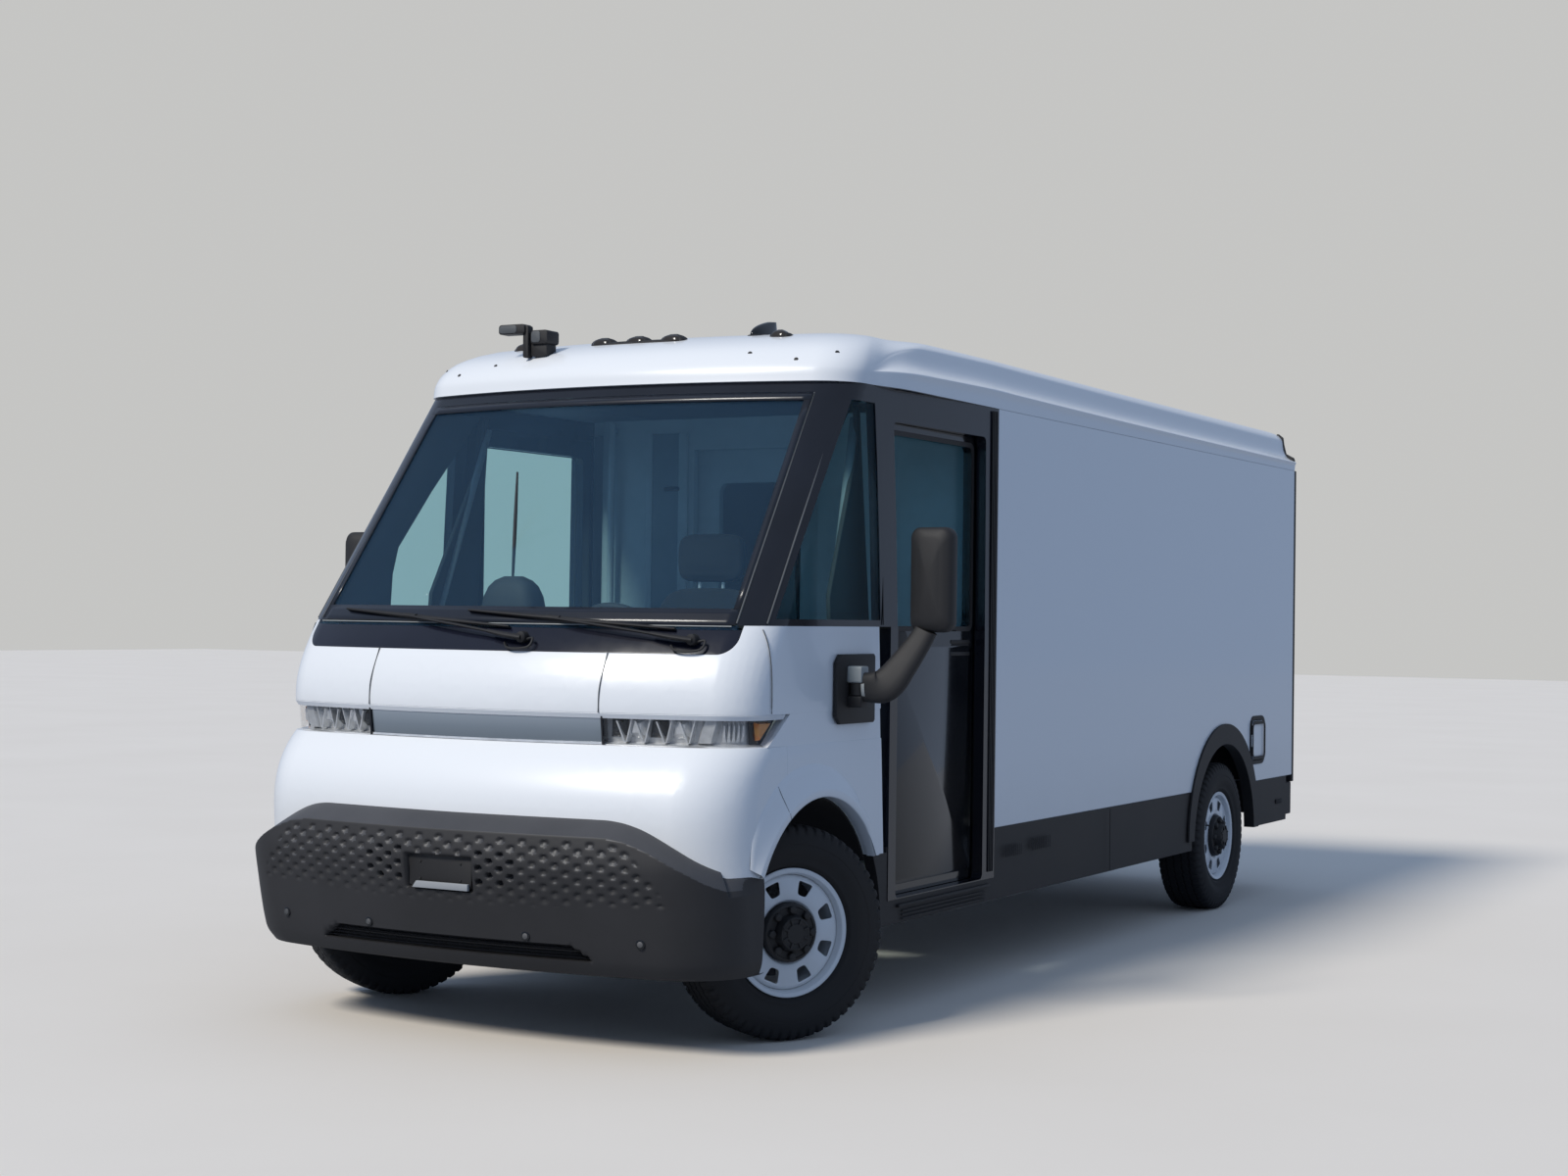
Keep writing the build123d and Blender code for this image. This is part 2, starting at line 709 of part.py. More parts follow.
def make_knuckle():
    """Upright, spindle, ball joint bosses and steering arm, with the kingpin at x = 0."""
    upright = Pos(-8, 0, 0) * Box(44, 70, 250)
    for sign in (1, -1):
        upright += Pos(0, 0, sign * (ball_joint_rise - 24)) * Cylinder(24, 20)
        upright += Pos(-4, 0, sign * 124) * Box(40, 48, 30)
    spindle_end = kingpin_to_face - 8
    spindle = Pos(spindle_end / 2, 0, 0) * Rot(0, 90, 0) * Cylinder(spindle_radius, spindle_end)
    hub = Pos(40, 0, 0) * Rot(0, 90, 0) * Cylinder(58, 60)
    arm = Pos(-14, 70, -40) * Box(26, 120, 26)
    return upright + spindle + hub + arm


def make_front_suspension():
    """Subframe, wishbones to the two ball joints, spring struts and steering rack."""
    frame = block(-360, 360, -160, 160, 255, 335)
    pieces = frame
    for sign in (1, -1):
        pieces += block(*sorted((sign * 340, sign * 419.7)), -150, 150, 200, 600)
        for height in (tyre_radius - ball_joint_rise, tyre_radius + ball_joint_rise):
            tip = (sign * kingpin_half, 0, height)
            for reach in (-100, 100):
                pieces += strut((sign * 400, reach, height), tip, 12)
            pieces += bar_z(20, sign * kingpin_half, 0, height - 13.7, height + 13.7)
    pieces += bar_x(22, -330, 330, 190, 330)
    pieces += block(-120, 120, 150, 200, 300, 345)
    return pieces


def make_rear_suspension():
    """Axle tube with spindles, drive housing, and a leaf spring on each side."""
    spindle_end = rear_face_half - 8
    sides = []
    for sign in (1, -1):
        x0, x1 = sorted((sign * 190, sign * 760))
        pieces = bar_x(52, x0, x1, wheelbase, tyre_radius)
        x0, x1 = sorted((sign * 700, sign * spindle_end))
        pieces += bar_x(spindle_radius, x0, x1, wheelbase, tyre_radius)
        x0, x1 = sorted((sign * 560, sign * 630))
        spring = prism_x([(wheelbase - 640, 520), (wheelbase - 300, 470), (wheelbase, 452),
                          (wheelbase + 300, 470), (wheelbase + 640, 520), (wheelbase + 640, 500),
                          (wheelbase + 300, 446), (wheelbase, 425), (wheelbase - 300, 446),
                          (wheelbase - 640, 500)], x0, x1)
        pieces += spring
        for end in (-640, 640):
            x2, x3 = sorted((sign * 500, sign * 640))
            pieces += block(x2, x3, wheelbase + end - 24, wheelbase + end + 24, 510, 640)
        sides.append(pieces)
    return sides


# ---------------------------------------------------------------- chassis
def make_chassis_frame():
    """Two side rails that step up behind the cab, crossmembers and outriggers."""
    rail_rear = body_rear - 102
    low, high, depth = 340.0, 530.0, 130.0
    step_front, step_rear = cab_rear + 30, cab_rear + 310
    outline_points = [(-640, low), (step_front, low), (step_rear, high), (rail_rear, high),
                      (rail_rear, high + depth), (step_rear - 60, high + depth),
                      (step_front - 60, low + depth), (-640, low + depth)]
    pieces = prism_x(outline_points, 420, 500) + prism_x(outline_points, -500, -420)
    for station in (-620, 300, 1200):
        pieces += block(-430, 430, station, station + 70, low + 10, low + 120)
    for station in (cab_rear + 340, 2900, 4090, 5200, 5720):
        pieces += block(-430, 430, station, station + 70, high + 10, high + 120)
    for station in (cab_rear + 340, 2900, 3900, 5560):
        for sign in (1, -1):
            reach = body_half - skirt_inset - skirt_thickness
            if station < pocket_rear:
                reach = door_face_half - door_thickness - clearance - 4
            x0, x1 = sorted((sign * 490, sign * reach))
            pieces += block(x0, x1, station, station + 60, ground_to_panel - 60, ground_to_panel)
    for sign in (1, -1):
        x0, x1 = sorted((sign * 420, sign * 500))
        pieces += block(x0, x1, cab_rear, cab_rear + 60, low + depth - 10, ground_to_panel)
    return pieces


def make_battery_pack():
    return block(-700, 700, cab_rear + 320, cab_rear + 2370, 250, 530)


def make_drive_units():
    front = block(-230, 230, -150, 140, 335.3, 600)
    rear = block(-190, 190, wheelbase - 200, wheelbase + 200, 290, 500)
    return [front, rear]


# ---------------------------------------------------------------- cab interior
def make_dashboard():
    points = [(-560, 1210), (-600, 1500), (-420, 1530), (-240, 1500), (-180, 1400), (-200, 1180),
              (-360, 1000), (-439, 1000), (-439, 1210)]
    body = prism_x(points, -860, 860)
    hump = prism_x([(-430, 1500), (-430, 1600), (-360, 1680), (-300, 1600), (-280, 1500)], -330, -90)
    inside = hood_solid(panel_thickness + 3) + house_solid(panel_thickness + 3)
    inside += block(-900, 900, -440, 0, 990, 1250)
    return ((body + hump) & inside) - make_steering_column()


seat_x = 225.0


def make_driver_seat():
    seat = block(seat_x - 60, seat_x + 60, 130, 330, driver_floor_height, 900)
    seat += rounded_prism_y(seat_x - 255, seat_x + 255, 0, 480, 900, 1030, 40)
    back = prism_x([(400, 1030), (500, 1030), (640, 1660), (560, 1680)], seat_x - 240, seat_x + 240)
    head = rounded_prism_y(seat_x - 130, seat_x + 130, 560, 650, 1690, 1860, 40)
    post = block(seat_x - 70, seat_x + 70, 590, 620, 1640, 1700)
    return seat + back + head + post


column_axis_y = 210.0 / sqrt(210.0 ** 2 + 140.0 ** 2)
column_axis_z = 140.0 / sqrt(210.0 ** 2 + 140.0 ** 2)


def make_steering_column():
    foot = (seat_x, -270, 1250)
    top = (seat_x, -60, 1390)
    column = strut(foot, top, 32)
    shaft_end = (seat_x, -60 + column_axis_y * 20.7, 1390 + column_axis_z * 20.7)
    return column + strut(top, shaft_end, 20 - running_fit)


def make_steering_wheel():
    ring = Torus(205, 16)
    spokes = Box(380, 40, 18) + Pos(0, -90, 0) * Box(40, 190, 18)
    hub = Cylinder(60, 40)
    wheel = ring + spokes + hub
    wheel = wheel - Pos(0, 0, -24) * Cylinder(20, 30)
    plane = Plane(origin=(seat_x, front_axle - 60 + column_axis_y * 30, 1390 + column_axis_z * 30),
                  x_dir=(1, 0, 0), z_dir=(0, column_axis_y, column_axis_z))
    return plane * wheel


# ---------------------------------------------------------------- mirrors, roof gear, wipers
mirror_hinge_x = 1104.0
mirror_hinge_y = 200.0
mirror_hinge_z = 1280.0


def make_mirror_bracket():
    plate = rounded_prism_x(body_half - 6, body_half + 12, 90, 400, 1150, 1410, 30)
    plate -= make_fender(1)
    plate += block(body_half + 10, mirror_hinge_x - 20, mirror_hinge_y - 30, mirror_hinge_y + 30,
                   mirror_hinge_z - 60, mirror_hinge_z - 24)
    plate += block(body_half + 10, mirror_hinge_x - 20, mirror_hinge_y - 30, mirror_hinge_y + 30,
                   mirror_hinge_z + 24, mirror_hinge_z + 60)
    plate += bar_z(30, mirror_hinge_x, mirror_hinge_y, mirror_hinge_z - 60, mirror_hinge_z - 24)
    plate += bar_z(30, mirror_hinge_x, mirror_hinge_y, mirror_hinge_z + 24, mirror_hinge_z + 60)
    plate += bar_z(12, mirror_hinge_x, mirror_hinge_y, mirror_hinge_z - 60, mirror_hinge_z + 60)
    return plate


def make_mirror_arm():
    barrel = bar_z(30, mirror_hinge_x, mirror_hinge_y, mirror_hinge_z - 23.5, mirror_hinge_z + 23.5)
    arm = strut((mirror_hinge_x, mirror_hinge_y, mirror_hinge_z),
                (mirror_hinge_x + 120, mirror_hinge_y + 30, mirror_hinge_z), 22)
    arm += strut((mirror_hinge_x + 110, mirror_hinge_y + 28, mirror_hinge_z - 8),
                 (1350, 330, 1500), 24)
    head = rounded_prism_y(1262, 1432, 285, 385, 1492, 1890, 35)
    piece = barrel + arm + head
    return piece - bar_z(12 + running_fit, mirror_hinge_x, mirror_hinge_y, 1000, 1400)


def make_roof_lamps():
    pieces = []
    housing = rounded_prism_y(-190, 190, 330, 420, 2600, 2665, 25)
    pieces.append(housing - roof_block())
    for x in (-610.0, 610.0):
        lamp = rounded_prism_y(x - 40, x + 40, 420, 500, 2600, 2672, 18)
        pieces.append(lamp - roof_block())
    return pieces


def make_roof_antenna():
    fin = prism_x([(560, 2600), (560, 2690), (640, 2735), (700, 2740), (710, 2600)], 430, 480)
    mast = block(-440, -400, 170, 210, 2560, 2700)
    mast += block(-560, -400, 170, 210, 2700, 2730)
    mast += block(-440, -330, 210, 300, 2600, 2690)
    return [fin - roof_block(), mast - roof_block()]


def skin_y(x, height, proud):
    """Station of the point `proud` ahead of the scuttle or windshield at x and this height."""
    if height < belt_height:
        share = (height - cowl_low) / (belt_height - cowl_low)
        nose = -640.0 + (nose_at_belt + 640.0) * share
    else:
        nose = windshield_nose(height)
    return nose + hood_bulge - sqrt(hood_bulge ** 2 - x ** 2) - proud


def make_wipers():
    """Two arms that pivot on the scuttle and lie with their blades towards the right."""
    pieces = []
    for pivot in (815.0, 160.0):
        points = [(pivot, 1462.0, 42.0), (pivot - 300.0, 1502.0, 42.0), (pivot - 560.0, 1530.0, 30.0)]
        arm = None
        for start, end in zip(points, points[1:]):
            link = strut((start[0], skin_y(start[0], start[1], start[2]), start[1]),
                         (end[0], skin_y(end[0], end[1], end[2]), end[1]), 8)
            arm = link if arm is None else arm + link
        blade_points = [(pivot - 80.0, 1498.0), (pivot - 560.0, 1530.0), (pivot - 950.0, 1556.0)]
        for start, end in zip(blade_points, blade_points[1:]):
            arm += strut((start[0], skin_y(start[0], start[1], 24.0), start[1]),
                         (end[0], skin_y(end[0], end[1], 24.0), end[1]), 10)
        arm += strut((pivot, skin_y(pivot, 1456.0, -10.0), 1456.0),
                     (pivot, skin_y(pivot, 1462.0, 52.0), 1462.0), 17)
        pieces.append(arm - hood_solid(0.0))
    return pieces


# ---------------------------------------------------------------- assembly
def save(name, shape):
    """Writes one node, whether it is one solid or several."""
    shapes = shape if isinstance(shape, list) else [shape]
    solids = []
    for item in shapes:
        solids += list(item.solids())
    parts[name] = solids
    result = solids[0] if len(solids) == 1 else Compound(children=solids)
    export_step(result, "parts/" + name + ".step")


def main():
    os.makedirs("parts", exist_ok=True)
    save("chassis_frame", make_chassis_frame())
    save("battery_pack", make_battery_pack())
    save("drive_units", make_drive_units())
    save("cargo_floor", make_cargo_floor())
    save("cab_floor", make_cab_floor())
    save("wheel_housings", make_wheel_housings())
    wall = make_wall()
    save("left_wall", wall - charge_hole())
    save("right_wall", mirror(wall, about=Plane.YZ))
    roof = make_roof()
    save("roof_cap", roof & block(-1300, 1300, -100, cap_rear, 2400, 2800))
    save("roof", roof & block(-1300, 1300, cap_rear, body_rear, 2400, 2800))
    save("rear_frame", make_rear_frame())
    save("rear_door", make_rear_door())
    save("rear_bumper", make_rear_bumper())
    save("tail_lamps", make_tail_lamps())
    save("hood", make_hood())
    save("cowl", make_cowl())
    bar, lamps = make_light_band()
    save("light_bar", bar)
    save("headlamps", lamps)
    save("front_fascia", make_fascia())
    save("front_bumper", make_front_bumper())
    save("left_fender", make_fender(1))
    save("right_fender", make_fender(-1))
    save("windshield", make_windshield())
    save("cab_frame", make_cab_frame())
    save("quarter_windows", make_quarter_windows())
    save("side_skirts", both(make_side_skirt()))
    save("bulkhead", make_bulkhead())
    save("bulkhead_door", make_bulkhead_door())
    save("dashboard", make_dashboard())
    save("driver_seat", make_driver_seat())
    save("steering_column", make_steering_column())
    save("steering_wheel", make_steering_wheel())
    save("charge_port", make_charge_port())
    save("charge_lid", make_charge_lid())
    save("front_suspension", make_front_suspension())
    save("rear_suspension", make_rear_suspension())
    save("roof_lamps", make_roof_lamps())
    save("roof_antenna", make_roof_antenna())
    save("wipers", make_wipers())
    door = make_cab_door()
    glass = make_cab_door_glass()
    bracket = make_mirror_bracket()
    arm = make_mirror_arm()
    save("mirror_brackets", both(bracket))
    for name, sign in (("left", 1), ("right", -1)):
        def place(shape):
            return shape if sign > 0 else mirror(shape, about=Plane.YZ)
        save(name + "_cab_door", place(door))
        save(name + "_door_glass", place(glass))
        save(name + "_mirror", place(arm))
        save("front_" + name + "_rim", to_corner(make_rim(kingpin_to_face), sign, True))
        save("front_" + name + "_tyre", to_corner(make_tyre(kingpin_to_face), sign, True))
        save("rear_" + name + "_rim", to_corner(make_rim(0.0), sign, False))
        save("rear_" + name + "_tyre", to_corner(make_tyre(0.0), sign, False))
        save(name + "_knuckle", to_corner(make_knuckle(), sign, True))


main()
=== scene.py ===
"""Looks of the electric walk-in cargo van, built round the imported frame. Metres, nose towards -Y."""
import json
import math

import bmesh
import bpy
from mathutils import Matrix, Vector


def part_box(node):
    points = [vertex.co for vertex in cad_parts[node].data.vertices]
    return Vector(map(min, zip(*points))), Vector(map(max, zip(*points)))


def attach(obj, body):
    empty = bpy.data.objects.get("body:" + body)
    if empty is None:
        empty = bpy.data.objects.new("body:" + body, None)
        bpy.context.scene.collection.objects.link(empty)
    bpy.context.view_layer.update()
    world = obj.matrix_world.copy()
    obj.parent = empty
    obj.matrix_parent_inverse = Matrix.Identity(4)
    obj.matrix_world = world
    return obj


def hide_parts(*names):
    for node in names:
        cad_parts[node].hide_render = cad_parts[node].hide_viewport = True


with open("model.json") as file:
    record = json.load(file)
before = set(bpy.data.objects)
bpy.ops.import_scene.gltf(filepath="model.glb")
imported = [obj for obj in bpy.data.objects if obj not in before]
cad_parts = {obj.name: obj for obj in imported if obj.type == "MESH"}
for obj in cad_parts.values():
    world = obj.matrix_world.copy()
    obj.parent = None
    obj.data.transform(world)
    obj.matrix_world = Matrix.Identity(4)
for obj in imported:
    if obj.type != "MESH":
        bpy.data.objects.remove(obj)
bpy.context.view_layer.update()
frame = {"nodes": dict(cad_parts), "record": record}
nodes = frame["nodes"]
body_of_node = {n: b for b, names in frame["record"]["behaviour"]["bodies"].items() for n in names}

# Sizes in metres; at() and moved() measure along the van from its front axle.
FRONT_AXLE = -2.542
WHEELBASE = 4.661
BULGE = 3.10
CORNER = 0.20
SIDES = (("left", 1), ("right", -1))


def at(x, y, z):
    return Vector((x, FRONT_AXLE + y, z))


def moved(x, y, z):
    return Matrix.Translation(at(x, y, z))


# ---------------------------------------------------------------- camera, floor and light
EYE = (5.0468, -10.0868, 1.5431)
EYE_AZIMUTH, EYE_ELEVATION, EYE_ROLL = 29.348, -0.664, 0.731
FOCAL = 53.47
FOCAL_SHIFT = (0.01335, 0.00154)


def make_camera():
    """Eye a little left of and in front of the van, at head height."""
    camera = bpy.data.objects.new("camera", bpy.data.cameras.new("camera"))
    bpy.context.scene.collection.objects.link(camera)
    azimuth, elevation, roll = (math.radians(a) for a in (EYE_AZIMUTH, EYE_ELEVATION, EYE_ROLL))
    look = Vector((-math.sin(azimuth) * math.cos(elevation), math.cos(azimuth) * math.cos(elevation),
                   -math.sin(elevation)))
    right = look.cross(Vector((0, 0, 1))).normalized()
    up = right.cross(look)
    turned_right = right * math.cos(roll) + up * math.sin(roll)
    turned_up = up * math.cos(roll) - right * math.sin(roll)
    camera.matrix_world = Matrix((
        (turned_right.x, turned_up.x, -look.x, EYE[0]),
        (turned_right.y, turned_up.y, -look.y, EYE[1]),
        (turned_right.z, turned_up.z, -look.z, EYE[2]),
        (0, 0, 0, 1)))
    camera.data.sensor_width = 36.0
    camera.data.lens = FOCAL
    camera.data.shift_x, camera.data.shift_y = FOCAL_SHIFT
    camera.data.clip_end = 200.0
    bpy.context.scene.camera = camera


# ---------------------------------------------------------------- node expressions
class Sock:
    """A shader socket that takes part in Python expressions."""

    def __init__(self, tree, out):
        self.tree = tree
        self.out = out

    def maths(self, operation, *others):
        node = self.tree.nodes.new("ShaderNodeMath")
        node.operation = operation
        for place, value in enumerate((self,) + others):
            put(self.tree, node.inputs[place], value)
        return Sock(self.tree, node.outputs[0])

    def __add__(self, other):
        return self.maths("ADD", other)

    def __radd__(self, other):
        return self.maths("ADD", other)

    def __sub__(self, other):
        return self.maths("SUBTRACT", other)

    def __rsub__(self, other):
        return (self * -1.0).maths("ADD", other)

    def __mul__(self, other):
        return self.maths("MULTIPLY", other)

    def sine(self):
        return self.maths("SINE")

    def most(self, other):
        return self.maths("MAXIMUM", other)

    def least(self, other):
        return self.maths("MINIMUM", other)


def put(tree, socket, value):
    if isinstance(value, Sock):
        tree.links.new(value.out, socket)
    elif isinstance(value, (tuple, list)) and len(value) == 3 and socket.type == "RGBA":
        socket.default_value = (*value, 1.0)
    else:
        socket.default_value = value


class Nodes:
    """A node tree in which every node comes from `add`."""

    def __init__(self, tree):
        self.tree = tree

    def add(self, kind, output=0, settings=None, at=None, **values):
        """A node by type; its settings are set first, then sockets by name or, in `at`, by number."""
        node = self.tree.nodes.new(kind if "Node" in kind else "ShaderNode" + kind)
        for key, value in (settings or {}).items():
            if key == "stops":
                while len(node.color_ramp.elements) < len(value):
                    node.color_ramp.elements.new(0.5)
                for element, (where, colour) in zip(node.color_ramp.elements, value):
                    element.position = where
                    element.color = (*colour, 1.0)
            else:
                setattr(node, key, value)
        for key, value in values.items():
            put(self.tree, node.inputs[key.replace("_", " ")], value)
        for number, value in (at or {}).items():
            put(self.tree, node.inputs[number], value)
        if output is None:
            return [Sock(self.tree, out) for out in node.outputs]
        return Sock(self.tree, node.outputs[output]) if len(node.outputs) else node


class Finish(Nodes):
    """One procedural material: the shader takes values or links."""

    def __init__(self, name, **plain):
        self.material = bpy.data.materials.new(name)
        self.material.use_nodes = True
        super().__init__(self.material.node_tree)
        self.shader = self.tree.nodes["Principled BSDF"]
        self.set(**plain)

    def set(self, **values):
        for key, value in values.items():
            put(self.tree, self.shader.inputs[key.replace("_", " ")], value)

    def coat(self):
        return Sock(self.tree, self.shader.outputs[0])

    def show(self, surface):
        put(self.tree, self.tree.nodes["Material Output"].inputs["Surface"], surface)

    def place(self):
        return self.add("TexCoord", output="Object")

    def axes(self):
        return self.add("SeparateXYZ", output=None, at={0: self.place()})

    def noise(self, scale, detail=2.0, rough=0.5, vector=None):
        return self.add("TexNoise", output="Fac", Vector=vector or self.place(), Scale=scale,
                        Detail=detail, Roughness=rough)

    def ramp(self, fac, *stops):
        return self.add("ValToRGB", output="Color", settings={"stops": stops}, Fac=fac)

    def blend(self, mask, first, second):
        return self.add("Mix", output=2, settings={"data_type": "RGBA"}, at={0: mask, 6: first, 7: second})

    def bump(self, height, strength=0.3, distance=0.001):
        self.set(Normal=self.add("Bump", output="Normal", Height=height, Strength=strength,
                                 Distance=distance))


def body_paint(name, colour=(0.80, 0.81, 0.82)):
    """Gloss white coat with a faint orange-peel skin and road film low down."""
    f = Finish(name, Coat_Weight=0.35, Coat_Roughness=0.08)
    _, _, z = f.axes()
    film = f.noise(3.0, 5.0, 0.6)
    low = ((0.95 - z) * 1.6).most(0.0).least(1.0)
    dirt = low * film * 0.5
    f.set(Base_Color=f.blend(dirt, colour, (0.52, 0.50, 0.46)), Roughness=0.30 + dirt * 0.4)
    f.bump(f.noise(260.0, 1.0), 0.05, 0.0005)
    return f.material


def grained_plastic(name, colour, rough=0.55, scale=900.0, depth=0.25):
    """Moulded plastic with a fine grain and slight fading."""
    f = Finish(name, Specular_IOR_Level=0.42)
    fade = f.noise(2.5, 4.0, 0.6)
    grain = f.noise(scale, 2.0)
    light = tuple(min(1.0, c * 1.35 + 0.002) for c in colour)
    f.set(Base_Color=f.ramp(fade, (0.35, colour), (0.75, light)), Roughness=rough + fade * 0.12)
    f.bump(grain, depth, 0.0004)
    return f.material


def gloss_black(name, colour=(0.010, 0.011, 0.013), rough=0.09):
    f = Finish(name, Coat_Weight=0.25, Coat_Roughness=0.03, Specular_IOR_Level=0.35)
    f.set(Base_Color=f.ramp(f.noise(4.0, 3.0), (0.3, colour), (0.8, tuple(c * 1.6 for c in colour))),
          Roughness=rough + f.noise(30.0, 4.0) * 0.05)
    return f.material


def clear_sheet(name, tint, rough=0.02, alpha=0.35):
    """Tinted sheet glass: light passes partly, with a sharp reflection."""
    f = Finish(name, IOR=1.5, Transmission_Weight=0.0, Specular_IOR_Level=0.8)
    haze = f.noise(1.7, 4.0, 0.6)
    f.set(Base_Color=f.ramp(haze, (0.3, tint), (0.8, tuple(c * 1.25 for c in tint))),
          Alpha=alpha + haze * 0.04, Roughness=rough)
    return f.material


def sheet_with_painted_sky(name, coat, share, through):
    """Coloured sheet glass: what is behind shows through in its tint, under a coat colour that paints in the
    sky's reflection.
    """
    f = Finish(name, IOR=2.0, Roughness=0.02)
    haze = f.noise(1.7, 4.0, 0.6)
    # Painted sky reflection: the coat colour, patchy with the haze noise, is mixed in at the given share.
    f.set(Base_Color=f.ramp(haze, (0.3, coat), (0.8, tuple(c * 1.25 for c in coat))))
    clear = f.add("BsdfTransparent", Color=through)
    f.show(f.add("MixShader", at={0: share, 1: clear, 2: f.coat()}))
    return f.material


def metal(name, colour, rough=0.4, scale=80.0, cast=False, bare=0.9):
    f = Finish(name, Metallic=bare)
    n = f.noise(scale, 4.0, 0.6)
    f.set(Base_Color=f.ramp(n, (0.3, tuple(c * 0.75 for c in colour)), (0.75, colour)),
          Roughness=rough + n * 0.2)
    if cast:
        f.bump(f.noise(300.0, 3.0), 0.4, 0.001)
    return f.material


WHITE = body_paint("white_coat")
BLACK = grained_plastic("black_moulding", (0.0115, 0.0110, 0.0120))
GLOSS = gloss_black("black_gloss", (0.004, 0.0045, 0.006))
# The navy and teal coat colours are painted sky reflection; the see-through tints are the glass's own.
GLASS = sheet_with_painted_sky("tinted_glass", (0.030, 0.085, 0.165), 0.14, (0.92, 1.0, 1.0))
SIDE_GLASS = sheet_with_painted_sky("side_glass", (0.016, 0.065, 0.095), 0.08, (0.79, 0.96, 0.99))
LENS = clear_sheet("lamp_lens", (0.10, 0.11, 0.12), alpha=0.06)
FROSTED = clear_sheet("frosted_lens", (0.75, 0.78, 0.80), 0.2, 0.6)
RED = gloss_black("red_lens", (0.30, 0.012, 0.010), 0.12)
# Navy-tinted gloss black for the cowl: the blue is painted sky reflection.
COWL_BLACK_PAINTED_SKY = gloss_black("cowl_black_painted_sky", (0.006, 0.007, 0.014), 0.16)
# Navy-tinted black for the windshield border: the blue is painted sky reflection.
SCREEN_BLACK_PAINTED_SKY = gloss_black("screen_black_painted_sky", (0.005, 0.007, 0.013), 0.28)
# Navy-tinted gloss black for the cab frame's pillars: the blue is painted sky reflection.
PILLAR_BLACK_PAINTED_SKY = gloss_black("pillar_black_painted_sky", (0.005, 0.006, 0.010), 0.20)
# Lighter black for the upward faces of the bumper's top band: painted sky light on the chamfer.
SKY_LIT_BAND_BLACK = grained_plastic("sky_lit_band_black", (0.046, 0.046, 0.050), 0.42)
BUMPER_BLACK = grained_plastic("bumper_black", (0.0175, 0.0170, 0.0185))
FRAME_BLACK = grained_plastic("chassis_black", (0.010, 0.010, 0.011), 0.5, 120.0)
LINER = grained_plastic("liner_black", (0.010, 0.010, 0.011), 0.75, 200.0)
CAST = metal("cast_metal", (0.16, 0.16, 0.165), 0.5, cast=True)
PLATE = metal("floor_plate", (0.42, 0.43, 0.44), 0.35)
BATTERY = metal("battery_housing", (0.30, 0.30, 0.31), 0.4)
CABIN = grained_plastic("cabin_plastic", (0.030, 0.034, 0.038), 0.6, 300.0, 0.05)
PANEL = grained_plastic("cabin_panel", (0.50, 0.52, 0.52), 0.5, 200.0, 0.03)
LOCKER = grained_plastic("locker_grey", (0.20, 0.22, 0.23), 0.5, 200.0, 0.03)
CLOTH = grained_plastic("seat_cloth", (0.014, 0.015, 0.018), 0.92, 260.0, 0.03)
SLEEVE = grained_plastic("sleeve_grey", (0.30, 0.31, 0.30), 0.45, 400.0, 0.05)
RIM = body_paint("wheel_white", (0.78, 0.80, 0.82))
RUBBER = grained_plastic("tyre_rubber", (0.0105, 0.0105, 0.0115), 0.72, 500.0, 0.3)

FINISHES = {
    "body_paint": WHITE, "black_trim": BLACK, "gloss_black": GLOSS, "clear_glass": GLASS,
    "lamp_lens": LENS, "tail_lens": RED, "chassis_black": FRAME_BLACK, "floor_grey": PLATE,
    "liner_black": LINER, "rim_white": RIM, "tyre_rubber": RUBBER, "cast_metal": CAST,
    "cabin_plastic": CABIN, "cabin_panel": PANEL, "seat_fabric": CLOTH, "battery_case": BATTERY,
}
slot_of = {p["node"]: p["material_slot"] for p in frame["record"]["subparts"]}
OWN_FINISH = {"left_door_glass": SIDE_GLASS, "right_door_glass": SIDE_GLASS, "quarter_windows": SIDE_GLASS,
              "cowl": COWL_BLACK_PAINTED_SKY, "cab_frame": PILLAR_BLACK_PAINTED_SKY}


def finish_of(node):
    return OWN_FINISH.get(node) or FINISHES[slot_of[node]]


# ---------------------------------------------------------------- pieces
def link(name, mesh, material):
    piece = bpy.data.objects.new(name, mesh)
    bpy.context.scene.collection.objects.link(piece)
    mesh.materials.clear()
    mesh.materials.append(material)
    return piece


def apply_all(piece):
    """Turns a piece with modifiers into a plain mesh."""
    graph = bpy.context.evaluated_depsgraph_get()
    mesh = bpy.data.meshes.new_from_object(piece.evaluated_get(graph))
    piece.modifiers.clear()
    piece.data = mesh
    return piece


def smooth_shade(mesh, sharp=None):
    """Smooth shading, kept sharp where faces meet at more than `sharp` degrees."""
    for face in mesh.polygons:
        face.use_smooth = True
    if sharp is not None:
        mesh.set_sharp_from_angle(angle=math.radians(sharp))


def round_edges(piece, width, segments, angle):
    edge = piece.modifiers.new("edge", "BEVEL")
    edge.width = width
    edge.segments = segments
    edge.limit_method = "ANGLE"
    edge.angle_limit = math.radians(angle)


def thicken(piece, thickness, offset=-1.0):
    wall = piece.modifiers.new("wall", "SOLIDIFY")
    wall.thickness = thickness
    wall.offset = offset


def sided(parts, side):
    """The parts as made for the left, or carried across to the right."""
    if side < 0:
        for part in parts:
            part.data.transform(Matrix.Scale(-1, 4, (1, 0, 0)))
            part.data.flip_normals()
    return parts


